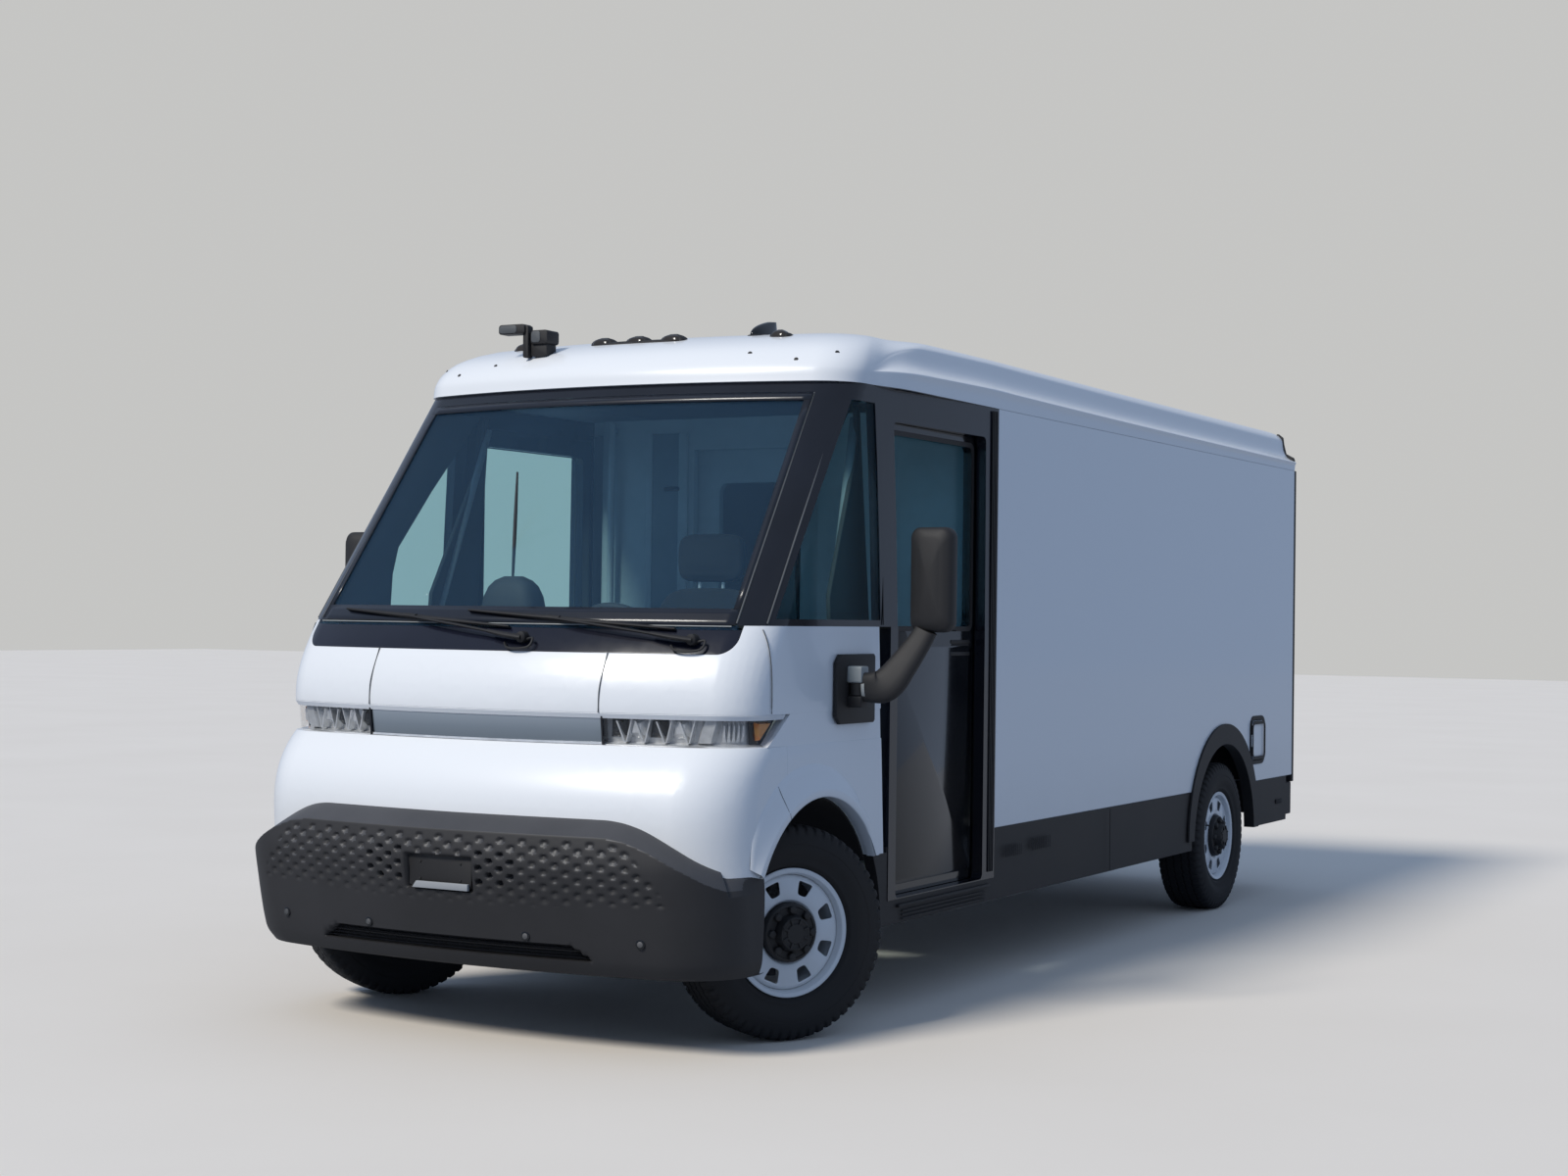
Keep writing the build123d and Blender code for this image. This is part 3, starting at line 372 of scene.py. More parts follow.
def soft_edges(name, width):
    """A copy of a frame node with its edges rounded and smooth shading, standing in for it."""
    mesh = nodes[name].data.copy()
    work = bmesh.new()
    work.from_mesh(mesh)
    bmesh.ops.remove_doubles(work, verts=work.verts, dist=0.00002)
    bmesh.ops.dissolve_limit(work, angle_limit=math.radians(0.6), verts=work.verts, edges=work.edges)
    work.to_mesh(mesh)
    work.free()
    smooth_shade(mesh)
    piece = link("look_" + name, mesh, finish_of(name))
    if width:
        round_edges(piece, width, 2, 32.0)
        apply_all(piece)
    piece.data.set_sharp_from_angle(angle=math.radians(40.0))
    even = piece.modifiers.new("even", "WEIGHTED_NORMAL")
    even.keep_sharp = True
    even.weight = 100
    apply_all(piece)
    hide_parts(name)
    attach(piece, body_of_node[name])


# ---------------------------------------------------------------- mesh tools
def mix(a, b, share):
    return a + (b - a) * share


def ease(value, low, high):
    share = min(1.0, max(0.0, (value - low) / (high - low)))
    return share * share * (3 - 2 * share)


def along(table, value):
    """Straight-line reading of a table of (place, value...) rows."""
    if value <= table[0][0]:
        return table[0][1:]
    for low, high in zip(table, table[1:]):
        if value <= high[0]:
            share = (value - low[0]) / (high[0] - low[0])
            return tuple(mix(a, b, share) for a, b in zip(low[1:], high[1:]))
    return table[-1][1:]


def curved(table, value):
    """A smooth reading of a table of (place, value...) rows."""
    place = max(0, min(len(table) - 2, sum(1 for r in table[1:-1] if r[0] <= value)))
    low, high = table[place], table[place + 1]
    before = table[place - 1] if place else low
    after = table[place + 2] if place + 2 < len(table) else high
    run = high[0] - low[0]
    t = min(1.0, max(0.0, (value - low[0]) / run))
    found = []
    for column in range(1, len(low)):
        m0 = (high[column] - before[column]) / max(1e-9, high[0] - before[0]) * run
        m1 = (after[column] - low[column]) / max(1e-9, after[0] - low[0]) * run
        found.append((2 * t ** 3 - 3 * t ** 2 + 1) * low[column] + (t ** 3 - 2 * t ** 2 + t) * m0
                     + (3 * t ** 2 - 2 * t ** 3) * high[column] + (t ** 3 - t ** 2) * m1)
    return tuple(found)


def loose(name, points, faces, material, smooth=35.0):
    """A new mesh piece with its doubled points merged and its faces turned outward."""
    mesh = bpy.data.meshes.new(name)
    mesh.from_pydata([tuple(p) for p in points], [], faces)
    work = bmesh.new()
    work.from_mesh(mesh)
    bmesh.ops.remove_doubles(work, verts=work.verts, dist=0.00001)
    bmesh.ops.dissolve_degenerate(work, dist=0.00001, edges=work.edges)
    bmesh.ops.recalc_face_normals(work, faces=work.faces)
    work.to_mesh(mesh)
    work.free()
    smooth_shade(mesh, smooth)
    return link(name, mesh, material)


def rows_to_faces(rows, loop=False):
    """Quads between rows of the same length."""
    width = len(rows[0])
    faces = []
    for r in range(len(rows) - 1):
        for c in range(width if loop else width - 1):
            d = (c + 1) % width
            faces.append((r * width + c, r * width + d, (r + 1) * width + d, (r + 1) * width + c))
    return faces


def surface(name, rows, material, loop=False, ends=False, smooth=35.0):
    """A skin over rows of points; `loop` closes each row, `ends` caps the first and the last."""
    points = [p for row in rows for p in row]
    faces = rows_to_faces(rows, loop)
    if ends:
        width = len(rows[0])
        faces.append(tuple(range(width))[::-1])
        faces.append(tuple(range(len(points) - width, len(points))))
    return loose(name, points, faces, material, smooth)


def wrapped(name, rows, material, smooth=35.0):
    """A skin closed both ways, such as a turned ring."""
    count, width = len(rows), len(rows[0])
    faces = [(k * width + c, k * width + (c + 1) % width, (k + 1) % count * width + (c + 1) % width,
              (k + 1) % count * width + c) for k in range(count) for c in range(width)]
    return loose(name, [p for row in rows for p in row], faces, material, smooth)


def join(name, parts, body):
    """One piece from several, each keeping its own material."""
    work = bmesh.new()
    materials = []
    for part in parts:
        first = len(work.faces)
        work.from_mesh(part.data)
        work.faces.ensure_lookup_table()
        own = list(part.data.materials)
        for face in work.faces[first:]:
            material = own[min(face.material_index, len(own) - 1)]
            if material not in materials:
                materials.append(material)
            face.material_index = materials.index(material)
    mesh = bpy.data.meshes.new(name)
    work.to_mesh(mesh)
    work.free()
    for part in parts:
        bpy.data.objects.remove(part)
    piece = bpy.data.objects.new(name, mesh)
    bpy.context.scene.collection.objects.link(piece)
    for material in materials:
        mesh.materials.append(material)
    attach(piece, body)
    return piece


def ring_points(centre, across, up, radius, sides, squash_up=1.0):
    return [centre + across * (math.cos(2 * math.pi * k / sides) * radius)
            + up * (math.sin(2 * math.pi * k / sides) * radius * squash_up) for k in range(sides)]


def pipe(name, points, radius, material, sides=10, flat=1.0, up_hint=(0, 0, 1)):
    """A round or flattened bar along points, closed at both ends. radius may be a list."""
    points = [Vector(p) for p in points]
    rows = []
    for k, p in enumerate(points):
        ahead = points[min(k + 1, len(points) - 1)] - points[max(k - 1, 0)]
        ahead.normalize()
        side = ahead.cross(Vector(up_hint))
        if side.length < 1e-4:
            side = ahead.cross(Vector((0, 1, 0)))
        side.normalize()
        up = side.cross(ahead)
        r = radius[k] if isinstance(radius, (list, tuple)) else radius
        rows.append(ring_points(p, side, up, r, sides, flat))
    return surface(name, rows, material, loop=True, ends=True, smooth=50.0)


def smooth_path(points, steps=8):
    """A Catmull-Rom line through points."""
    points = [Vector(p) for p in points]
    found = []
    for k in range(len(points) - 1):
        a = points[max(k - 1, 0)]
        b, c = points[k], points[k + 1]
        d = points[min(k + 2, len(points) - 1)]
        for s in range(steps):
            t = s / steps
            found.append(0.5 * ((2 * b) + (c - a) * t + (2 * a - 5 * b + 4 * c - d) * t * t
                                + (3 * b - a - 3 * c + d) * t ** 3))
    found.append(points[-1])
    return found


def slab(name, outline, thickness, material, bevel=0.0, segments=2, place=None):
    """A flat plate from an outline in its own x, z plane, `thickness` along +y, edges rounded."""
    count = len(outline)
    points = [(x, 0.0, z) for x, z in outline] + [(x, thickness, z) for x, z in outline]
    faces = [tuple(range(count)), tuple(range(count, 2 * count))[::-1]]
    for k in range(count):
        n = (k + 1) % count
        faces.append((k, k + count, n + count, n))
    piece = loose(name, points, faces, material)
    if bevel:
        round_edges(piece, bevel, segments, 50.0)
        apply_all(piece)
        smooth_shade(piece.data, 40.0)
    if place is not None:
        piece.data.transform(place)
        if place.determinant() < 0:
            piece.data.flip_normals()
    return piece


def round_rect(half_x, half_z, radius, steps=5, at=(0.0, 0.0)):
    """Outline of a rectangle with rounded corners."""
    found = []
    for cx, cz, start in ((half_x - radius, half_z - radius, 0), (radius - half_x, half_z - radius, 90),
                          (radius - half_x, radius - half_z, 180), (half_x - radius, radius - half_z, 270)):
        for k in range(steps + 1):
            a = math.radians(start + 90 * k / steps)
            found.append((at[0] + cx + radius * math.cos(a), at[1] + cz + radius * math.sin(a)))
    return found


def facing(where, outward, up=(0, 0, 1)):
    """A place whose -y looks along `outward`, x to its side."""
    back = -Vector(outward).normalized()
    side = back.cross(Vector(up)).normalized()
    up = side.cross(back)
    return Matrix((
        (side.x, back.x, up.x, where[0]), (side.y, back.y, up.y, where[1]),
        (side.z, back.z, up.z, where[2]), (0, 0, 0, 1)))


def flank(side, x, y, z):
    """A place on the van's flank, looking outward."""
    return facing(at(side * x, y, z), (side, 0, 0))


def turned(name, profile, material, sides=48, smooth=35.0):
    """A closed solid of revolution from (along, radius) points about the x axis."""
    rows = []
    for k in range(sides):
        a = 2 * math.pi * k / sides
        rows.append([(x, r * math.cos(a), r * math.sin(a)) for x, r in profile])
    return wrapped(name, rows, material, smooth)


def make_repeat_tree():
    """Copies a small shape to each point of a mesh, turned by the point's own angles."""
    group = bpy.data.node_groups.new("repeat_on_points", "GeometryNodeTree")
    sockets = (("Geometry", "Geometry"), ("Shape", "Object"), ("Width", "Float"), ("Depth", "Float"),
               ("Height", "Float"), ("Finish", "Material"))
    for name, kind in sockets:
        group.interface.new_socket(name, in_out="INPUT", socket_type="NodeSocket" + kind)
    group.interface.new_socket("Geometry", in_out="OUTPUT", socket_type="NodeSocketGeometry")
    n = Nodes(group)
    points, shape, width, depth, height, finish = n.add("NodeGroupInput", output=None)[:6]
    single = n.add("GeometryNodeObjectInfo", output="Geometry", Object=shape,
                   settings={"transform_space": "ORIGINAL"})
    angles = n.add("GeometryNodeInputNamedAttribute", output="Attribute",
                   settings={"data_type": "FLOAT_VECTOR"}, Name="turn")
    turn = n.add("FunctionNodeEulerToRotation", at={0: angles})
    size = n.add("CombineXYZ", X=width, Y=depth, Z=height)
    copies = n.add("GeometryNodeInstanceOnPoints", Points=points, Instance=single, Rotation=turn, Scale=size)
    solid = n.add("GeometryNodeRealizeInstances", at={0: copies})
    done = n.add("GeometryNodeSetMaterial", Geometry=solid, Material=finish)
    n.add("NodeGroupOutput", at={0: done})
    return group


REPEAT = make_repeat_tree()


def repeat(name, shape, places, material, width=1.0, depth=1.0, height=1.0):
    """One mesh of `shape` at every place; the shape's -y side looks outward."""
    mesh = bpy.data.meshes.new(name)
    mesh.from_pydata([tuple(p.to_translation()) for p in places], [], [])
    turn = mesh.attributes.new("turn", "FLOAT_VECTOR", "POINT")
    for item, p in zip(turn.data, places):
        item.vector = tuple(p.to_euler())
    piece = link(name, mesh, material)
    modifier = piece.modifiers.new("repeat", "NODES")
    modifier.node_group = REPEAT
    given = {"Shape": shape, "Width": width, "Depth": depth, "Height": height, "Finish": material}
    for item in REPEAT.interface.items_tree:
        if item.in_out == "INPUT" and item.name in given:
            modifier[item.identifier] = given[item.name]
    apply_all(piece)
    piece.data.materials.clear()
    piece.data.materials.append(material)
    bpy.data.objects.remove(shape)
    return piece


def unit_block(edge=0.12, segments=1):
    """A soft-edged block one unit each way, its back on y = 0."""
    square = [(-0.5, -0.5), (-0.5, 0.5), (0.5, 0.5), (0.5, -0.5)]
    return slab("unit_block", square, -1.0, BLACK, edge, segments)


def unit_dome(sides=12):
    piece = turned("unit_dome", [(0.0, 0.0), (0.0, 1.0), (0.35, 0.88), (0.62, 0.55), (0.70, 0.0)], BLACK,
                   sides)
    piece.data.transform(Matrix.Rotation(-math.pi / 2, 4, "Z"))
    return piece


def ring_plate(name, outer, inner, thickness, material, place):
    """A flat ring between two outlines of as many points, in the x, z plane."""
    rows = [[(x, 0.0, z) for x, z in outer], [(x, -thickness, z) for x, z in outer],
            [(x, -thickness, z) for x, z in inner], [(x, 0.0, z) for x, z in inner]]
    piece = surface(name, rows + [rows[0]], material, loop=True, smooth=30.0)
    piece.data.transform(place)
    return piece


def mound(name, cx, cy, half_x, half_y, z0, z1, material, power=3.0, sides=28):
    """A low rounded cover with a superellipse plan."""
    rows = []
    for t in (0.0, 0.35, 0.6, 0.8, 0.92, 0.98, 1.0):
        shrink = (1 - t ** power) ** (1 / power) if t < 1 else 0.25
        row = []
        for k in range(sides):
            a = 2 * math.pi * k / sides
            c, d = math.cos(a), math.sin(a)
            r = (abs(c) ** 4 + abs(d) ** 4) ** -0.25
            row.append((cx + half_x * r * c * max(shrink, 0.3), cy + half_y * r * d * max(shrink, 0.3),
                        mix(z0, z1, t)))
        rows.append(row)
    return surface(name, rows, material, loop=True, ends=True, smooth=60.0)


def pillow(name, half, place, material, crown=0.012, grooves=(), power=4.5, cuts=13):
    """A stuffed block: rounded all over, crowned on its +z side, pressed in along its seams."""
    work = bmesh.new()
    bmesh.ops.create_cube(work, size=2.0)
    bmesh.ops.subdivide_edges(work, edges=work.edges, cuts=cuts, use_grid_fill=True)
    for vert in work.verts:
        p = vert.co
        x, y, z = p
        far = max(abs(x), abs(y), abs(z))
        near = (abs(x) ** power + abs(y) ** power + abs(z) ** power) ** (1 / power)
        q = p * (far / near)
        top = max(0.0, q.z)
        q = Vector((q.x * half[0], q.y * half[1], q.z * (half[2] - crown)))
        q.z += crown * top * (1 - x * x) * (1 - y * y) * 2.0
        for axis, where, deep in grooves:
            away = (p[axis] - where) * half[axis]
            q.z -= deep * top * math.exp(-(away / 0.009) ** 2)
        vert.co = q
    mesh = bpy.data.meshes.new(name)
    work.to_mesh(mesh)
    work.free()
    smooth_shade(mesh)
    piece = link(name, mesh, material)
    finer = piece.modifiers.new("finer", "SUBSURF")
    finer.levels = 1
    apply_all(piece)
    smooth_shade(piece.data)
    piece.data.transform(place)
    return piece


class Plan:
    """A level line round the nose: a wide arc, a rounded corner and a straight side.

    Distance s runs from the middle of the nose, positive to the van's left.
    """

    def __init__(self, nose, half, bulge, corner):
        self.nose, self.half, self.bulge, self.corner = nose, half, bulge, corner
        self.cx = half - corner
        self.cy = nose + bulge - math.sqrt((bulge - corner) ** 2 - self.cx ** 2)
        self.turn = math.asin(self.cx / (bulge - corner))
        self.front = bulge * self.turn
        self.round = corner * (math.pi / 2 - self.turn)

    def length_to(self, y):
        return self.front + self.round + (y - self.cy)

    def at(self, s, proud=0.0):
        """Point and outward direction at distance s, moved out by `proud`."""
        t = abs(s)
        if t < self.front:
            a = t / self.bulge
            x, y = self.bulge * math.sin(a), self.nose + self.bulge * (1 - math.cos(a))
        elif t < self.front + self.round:
            a = self.turn + (t - self.front) / self.corner
            x, y = self.cx + self.corner * math.sin(a), self.cy - self.corner * math.cos(a)
        else:
            a = math.pi / 2
            x, y = self.half, self.cy + t - self.front - self.round
        nx, ny = math.sin(a), -math.cos(a)
        sign = 1 if s >= 0 else -1
        return sign * (x + nx * proud), y + ny * proud, (sign * nx, ny)


def level(nose, half):
    """The body's level line whose nose lies at `nose` from the front axle."""
    return Plan(nose + FRONT_AXLE, half, BULGE, CORNER)


make_camera()
for name, node in nodes.items():
    node.data.materials.clear()
    node.data.materials.append(finish_of(name))

ROUNDED = {
    "hood": 0.004, "front_fascia": 0.006, "left_fender": 0.004, "right_fender": 0.004, "left_wall": 0.004,
    "right_wall": 0.004, "cab_frame": 0.003, "left_cab_door": 0.003, "right_cab_door": 0.003,
    "side_skirts": 0.005, "cowl": 0.004, "windshield": 0.0, "quarter_windows": 0.0, "charge_lid": 0.002,
    "charge_port": 0.002, "rear_frame": 0.004, "rear_bumper": 0.006, "wheel_housings": 0.0,
    "dashboard": 0.010, "bulkhead": 0.004, "bulkhead_door": 0.004, "cab_floor": 0.004,
}
for name, width in ROUNDED.items():
    soft_edges(name, width)


def lower_cover(piece):
    """Sinks the plain block on the dash top, whose place a dome takes."""
    for vert in piece.data.vertices:
        p = vert.co
        y = p.y - FRONT_AXLE
        top = mix(1.500, 1.530, (y + 0.600) / 0.180) if y < -0.420 else mix(1.530, 1.500, (y + 0.420) / 0.180)
        if -0.35 < p.x < -0.07 and -0.45 < y < -0.26 and p.z > top - 0.002:
            p.z = top - 0.002


lower_cover(bpy.data.objects["look_dashboard"])


# ---------------------------------------------------------------- roof
ROOF_TOP = 2.700
ROOF_REAR = 5.915
SHOULDER = 1.590
FRONT_SHARE, BEND_SHARE = 0.20, 0.34
ROOF_SKIN = [
    (2.445, 0.112, 1.012, 1.055), (2.500, 0.126, 1.012, 1.058), (2.550, 0.165, 1.000, 1.036),
    (2.600, 0.238, 0.972, 1.000), (2.650, 0.390, 0.912, 0.940), (2.680, 0.580, 0.820, 0.845),
    (2.696, 0.800, 0.690, 0.720), (2.700, 0.900, 0.600, 0.640)]
CROWN = [(2.620, 0.985), (2.632, 0.983), (2.645, 0.974), (2.660, 0.955), (2.672, 0.926),
         (2.683, 0.885), (2.692, 0.820), (2.698, 0.730), (2.700, 0.620)]
BAND_STEPS = [0.0, 0.25, 0.5, 0.72, 0.86, 0.95, 1.0]
SCOOP = [(0.0, 0.000), (0.04, 0.004), (0.09, 0.014), (0.16, 0.030), (0.28, 0.046), (0.45, 0.058),
         (0.65, 0.066), (0.85, 0.070), (1.0, 0.072)]
CROWN_STEPS = [0.04, 0.08, 0.14, 0.20, 0.28, 0.37, 0.47, 0.57, 0.67, 0.77, 0.86, 0.94, 1.0]


def ridge_height(y):
    return along([(0.3, 2.490), (0.9, 2.505), (1.5, 2.514), (2.2, 2.520), (3.8, 2.506), (5.9, 2.492)], y)[0]


def roof_column(share, scooped):
    """One run of points from the seam to the crown, at a share of the way from nose to tail."""
    column = []
    nominal = along([(0.0, 0.1), (0.34, 0.40), (1.0, ROOF_REAR)], share)[0]
    depth = ease(nominal, 0.55, 1.25) if scooped else 0.0
    ridge = ridge_height(nominal)
    wall = ridge + 0.010 + 0.104 * depth
    heights = [(mix(2.445, ridge, b), "band", b) for b in BAND_STEPS]
    heights += [(mix(ridge, wall, b), "scoop", b) for b, _ in SCOOP[1:]]
    heights += [(mix(wall, ROOF_TOP, b), "crown", b) for b in CROWN_STEPS]
    for z, zone, b in heights:
        nose, half, side = curved(ROOF_SKIN, z)
        plan = level(nose, half)
        if share < FRONT_SHARE:
            s = plan.front * share / FRONT_SHARE
        elif share < BEND_SHARE:
            s = plan.front + plan.round * (share - FRONT_SHARE) / (BEND_SHARE - FRONT_SHARE)
        else:
            roll = max(0.0, z - 2.600)
            rear = ROOF_REAR - 0.09 + math.sqrt(max(0.0, 0.0081 - roll * roll * 0.81)) if roll else ROOF_REAR
            run = (share - BEND_SHARE) / (1 - BEND_SHARE)
            s = plan.front + plan.round + (rear + FRONT_AXLE - plan.cy) * run ** 1.5
        x, y, _ = plan.at(s)
        back = y - FRONT_AXLE
        if share > BEND_SHARE:
            run = (back - plan.cy + FRONT_AXLE) / (SHOULDER - plan.cy + FRONT_AXLE)
            x += (side - half) * min(1.0, max(0.0, run))
            lip = ease(back, 0.30, 0.95)
            if zone == "band":
                x = mix(x, 1.055 + 0.004 * b, depth) + 0.005 * lip * ease(b, 0.6, 1.0)
            elif zone == "scoop":
                edge = x + 0.005 * lip
                x = mix(edge, 1.064 - curved(SCOOP, b)[0] * 1.09, depth)
            else:
                x = mix(x, curved(CROWN, max(2.620, mix(2.620, ROOF_TOP, b)))[0], depth)
        column.append((x, y, z))
    nose, half, _ = curved(ROOF_SKIN, ROOF_TOP)
    top = column[-1]
    hub = level(nose, half).cy if share < BEND_SHARE else top[1]
    column += [(top[0] * 0.6, mix(top[1], hub, 0.4), 2.7025), (0.0, mix(top[1], hub, 0.9), 2.7035)]
    return column


def make_roof():
    """Roof moulding: rounded brow, gutter ridge, scooped flanks and crown, one shell."""
    shares = [k / 14 * 0.20 for k in range(14)] + [0.20 + 0.14 * k / 14 for k in range(14)]
    shares += [0.34 + 0.66 * k / 72 for k in range(73)]
    left = [roof_column(s, True) for s in shares]
    right = [[(-x, y, z) for x, y, z in column] for column in left]
    rows = right[:0:-1] + left
    piece = surface("roof_moulding", rows, WHITE, smooth=60.0)
    thicken(piece, 0.022)
    apply_all(piece)
    smooth_shade(piece.data, 50.0)
    parts = [piece]
    profile = left[-1][:-2]
    outline = [(x, z) for x, y, z in profile] + [(-x, z) for x, y, z in profile[::-1]]
    count = len(outline)
    y0, y1 = FRONT_AXLE + ROOF_REAR - 0.040, FRONT_AXLE + ROOF_REAR - 0.012
    shrink = 0.985
    points = [(x * shrink, y, mix(2.5, z, 0.97)) for y in (y0, y1) for x, z in outline]
    faces = [tuple(range(count)), tuple(range(count, 2 * count))[::-1]]
    faces += [(k, k + count, (k + 1) % count + count, (k + 1) % count) for k in range(count)]
    parts.append(loose("tail_wall", points, faces, WHITE))
    for side in (1, -1):
        trim = [(1.058, 2.498), (1.050, 2.520), (1.004, 2.545), (0.990, 2.600), (0.985, 2.640),
                (0.955, 2.665), (0.930, 2.640), (0.960, 2.560), (0.985, 2.500)]
        parts.append(slab("tail_trim", [(x * side, z) for x, z in trim][::side], 0.030, BLACK, 0.006,
                          place=moved(0, ROOF_REAR - 0.018, 0)))
    for x, y, z in ((0.793, 0.305, 2.530), (0.926, 0.399, 2.560), (0.60, 0.235, 2.560)):
        for side in (1, -1):
            nose, half, _ = curved(ROOF_SKIN, z)
            plan = level(nose, half)
            s = next((k / 200 for k in range(400) if plan.at(k / 200)[0] >= x), 0.8)
            px, py, out = plan.at(s * side, 0.001)
            parts.append(slab("cap_screw", round_rect(0.009, 0.009, 0.0088, 3), 0.004, BLACK, 0.001,
                              place=facing((px, py, z), (out[0], out[1], 0.5))))
    piece = join("roof_moulding", parts, "chassis")
    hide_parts("roof", "roof_cap")


make_roof()


# ---------------------------------------------------------------- wheels
TYRE_R = 0.395
KINGPIN_HALF = 0.856
KINGPIN_TO_FACE = 0.150
REAR_FACE_HALF = 1.028
HAND_HOLES = 8
STEER = math.radians(31.2)
FLANGE_DEPTH = 0.200
HUB_BLACK = grained_plastic("hub_cover", (0.012, 0.012, 0.013), 0.5, 300.0)


def corner_place(side, front):
    """Where a wheel made with its outer face at x = 0, left side, stands at rest."""
    if front:
        turn = Matrix.Rotation(-STEER, 4, "Z")
        place = moved(KINGPIN_HALF * side, 0.0, TYRE_R) @ turn
        offset = Matrix.Translation((KINGPIN_TO_FACE * side, 0, 0))
    else:
        place = moved(REAR_FACE_HALF * side, WHEELBASE, TYRE_R)
        offset = Matrix.Identity(4)
    flip = Matrix.Identity(4) if side > 0 else Matrix.Rotation(math.pi, 4, "Z")
    return place @ offset @ flip


TREAD_STEPS = 360
TREAD_GROOVES = (-0.062, -0.021, 0.021, 0.062)
GROOVE_HALF, GROOVE_DEPTH = 0.0048, 0.0085
# each shoulder point on a lug and in the gap between lugs: distance from the middle, radius
SHOULDER_LUGS = [((0.1120, 0.3660), (0.1080, 0.3645)), ((0.1085, 0.3790), (0.1030, 0.3730)),
                 ((0.1000, 0.3885), (0.0980, 0.3815)), ((0.0860, 0.3925), (0.0860, 0.3850)),
                 ((0.0740, 0.3935), (0.0740, 0.3890))]


def make_tyre(name, place, body):
    """All-season tyre: four grooves with a wavy line, shoulder lugs, sidewall steps and rim bead."""
    middle = -FLANGE_DEPTH / 2
    side_in = [(-0.086, 0.224), (-0.090, 0.237), (-0.099, 0.246), (-0.106, 0.252), (-0.1075, 0.256),
               (-0.106, 0.262), (-0.1135, 0.280), (-0.1185, 0.300), (-0.1195, 0.312), (-0.1182, 0.324),
               (-0.1195, 0.3255), (-0.1190, 0.331), (-0.1165, 0.346), (-0.1130, 0.358)]
    rows = []
    for k in range(TREAD_STEPS):
        a = 2 * math.pi * k / TREAD_STEPS
        near, far = ((k + shift) % 6 < 4 for shift in (0, 3))
        wave = 0.0035 * math.sin(a * 60)
        row = list(side_in)
        row += [(-x, r) for x, r in (pair[0 if near else 1] for pair in SHOULDER_LUGS)]
        for g, centre in enumerate(TREAD_GROOVES):
            shift = wave * (1 if g % 2 else -1)
            top = TYRE_R - 0.9 * centre * centre * 0.5
            sipe = 0.0 if (k + 2 * g) % 6 else 0.0030
            row.append((centre - GROOVE_HALF + shift, top - sipe))
            row.append((centre - GROOVE_HALF + 0.0008 + shift, top - GROOVE_DEPTH))
            row.append((centre + GROOVE_HALF - 0.0008 + shift, top - GROOVE_DEPTH))
            row.append((centre + GROOVE_HALF + shift, top - sipe))
        row += [pair[0 if far else 1] for pair in SHOULDER_LUGS[::-1]]
        row += [(-x, r) for x, r in side_in[::-1]]
        rows.append([(middle + x, r * math.sin(a), r * math.cos(a)) for x, r in row])
    piece = wrapped("look_" + name, rows, RUBBER, 38.0)
    piece.data.transform(place)
    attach(piece, body)
    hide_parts(name)


def disc_with_holes(x_front, thick, inner, outer, low, high, low_half, high_half, material):
    """The wheel's pressed disc: a ring with rounded trapezoid hand holes and turned-in edges."""
    holes = []
    for k in range(HAND_HOLES):
        a0 = math.radians(22.5 + 45 * k)
        outline = []
        corners = [(low, -low_half), (low, low_half), (high, high_half), (high, -high_half)]
        for c, (r, h) in enumerate(corners):
            before = corners[c - 1]
            after = corners[(c + 1) % 4]
            here = Vector((r, h))
            to_b = (Vector(before) - here).normalized()
            to_a = (Vector(after) - here).normalized()
            radius = 0.011
            for q in range(4):
                t = q / 3
                p = here + to_b * radius * (1 - t) ** 2 + to_a * radius * t ** 2
                outline.append(p)
        holes.append([(p.x * math.cos(a0) - p.y * math.sin(a0), p.x * math.sin(a0) + p.y * math.cos(a0))
                      for p in outline])
    work = bmesh.new()

    def circle(radius, sides):
        return [(radius * math.cos(2 * math.pi * k / sides), radius * math.sin(2 * math.pi * k / sides))
                for k in range(sides)]

    loops = [circle(outer, 96), circle(inner, 64)] + holes
    edges = []
    for outline in loops:
        verts = [work.verts.new((x_front, y, z)) for y, z in outline]
        for a, b in zip(verts, verts[1:] + verts[:1]):
            edges.append(work.edges.new((a, b)))
    bmesh.ops.triangle_fill(work, use_beauty=True, use_dissolve=False, edges=edges, normal=(1, 0, 0))
    mesh = bpy.data.meshes.new("disc")
    work.to_mesh(mesh)
    work.free()
    piece = link("disc", mesh, material)
    thicken(piece, thick, -1.0 if mesh.polygons[0].normal.x > 0 else 1.0)
    round_edges(piece, 0.0016, 2, 50.0)
    apply_all(piece)
    work = bmesh.new()
    work.from_mesh(piece.data)
    bmesh.ops.recalc_face_normals(work, faces=work.faces)
    work.to_mesh(piece.data)
    work.free()
    smooth_shade(piece.data, 35.0)
    return piece


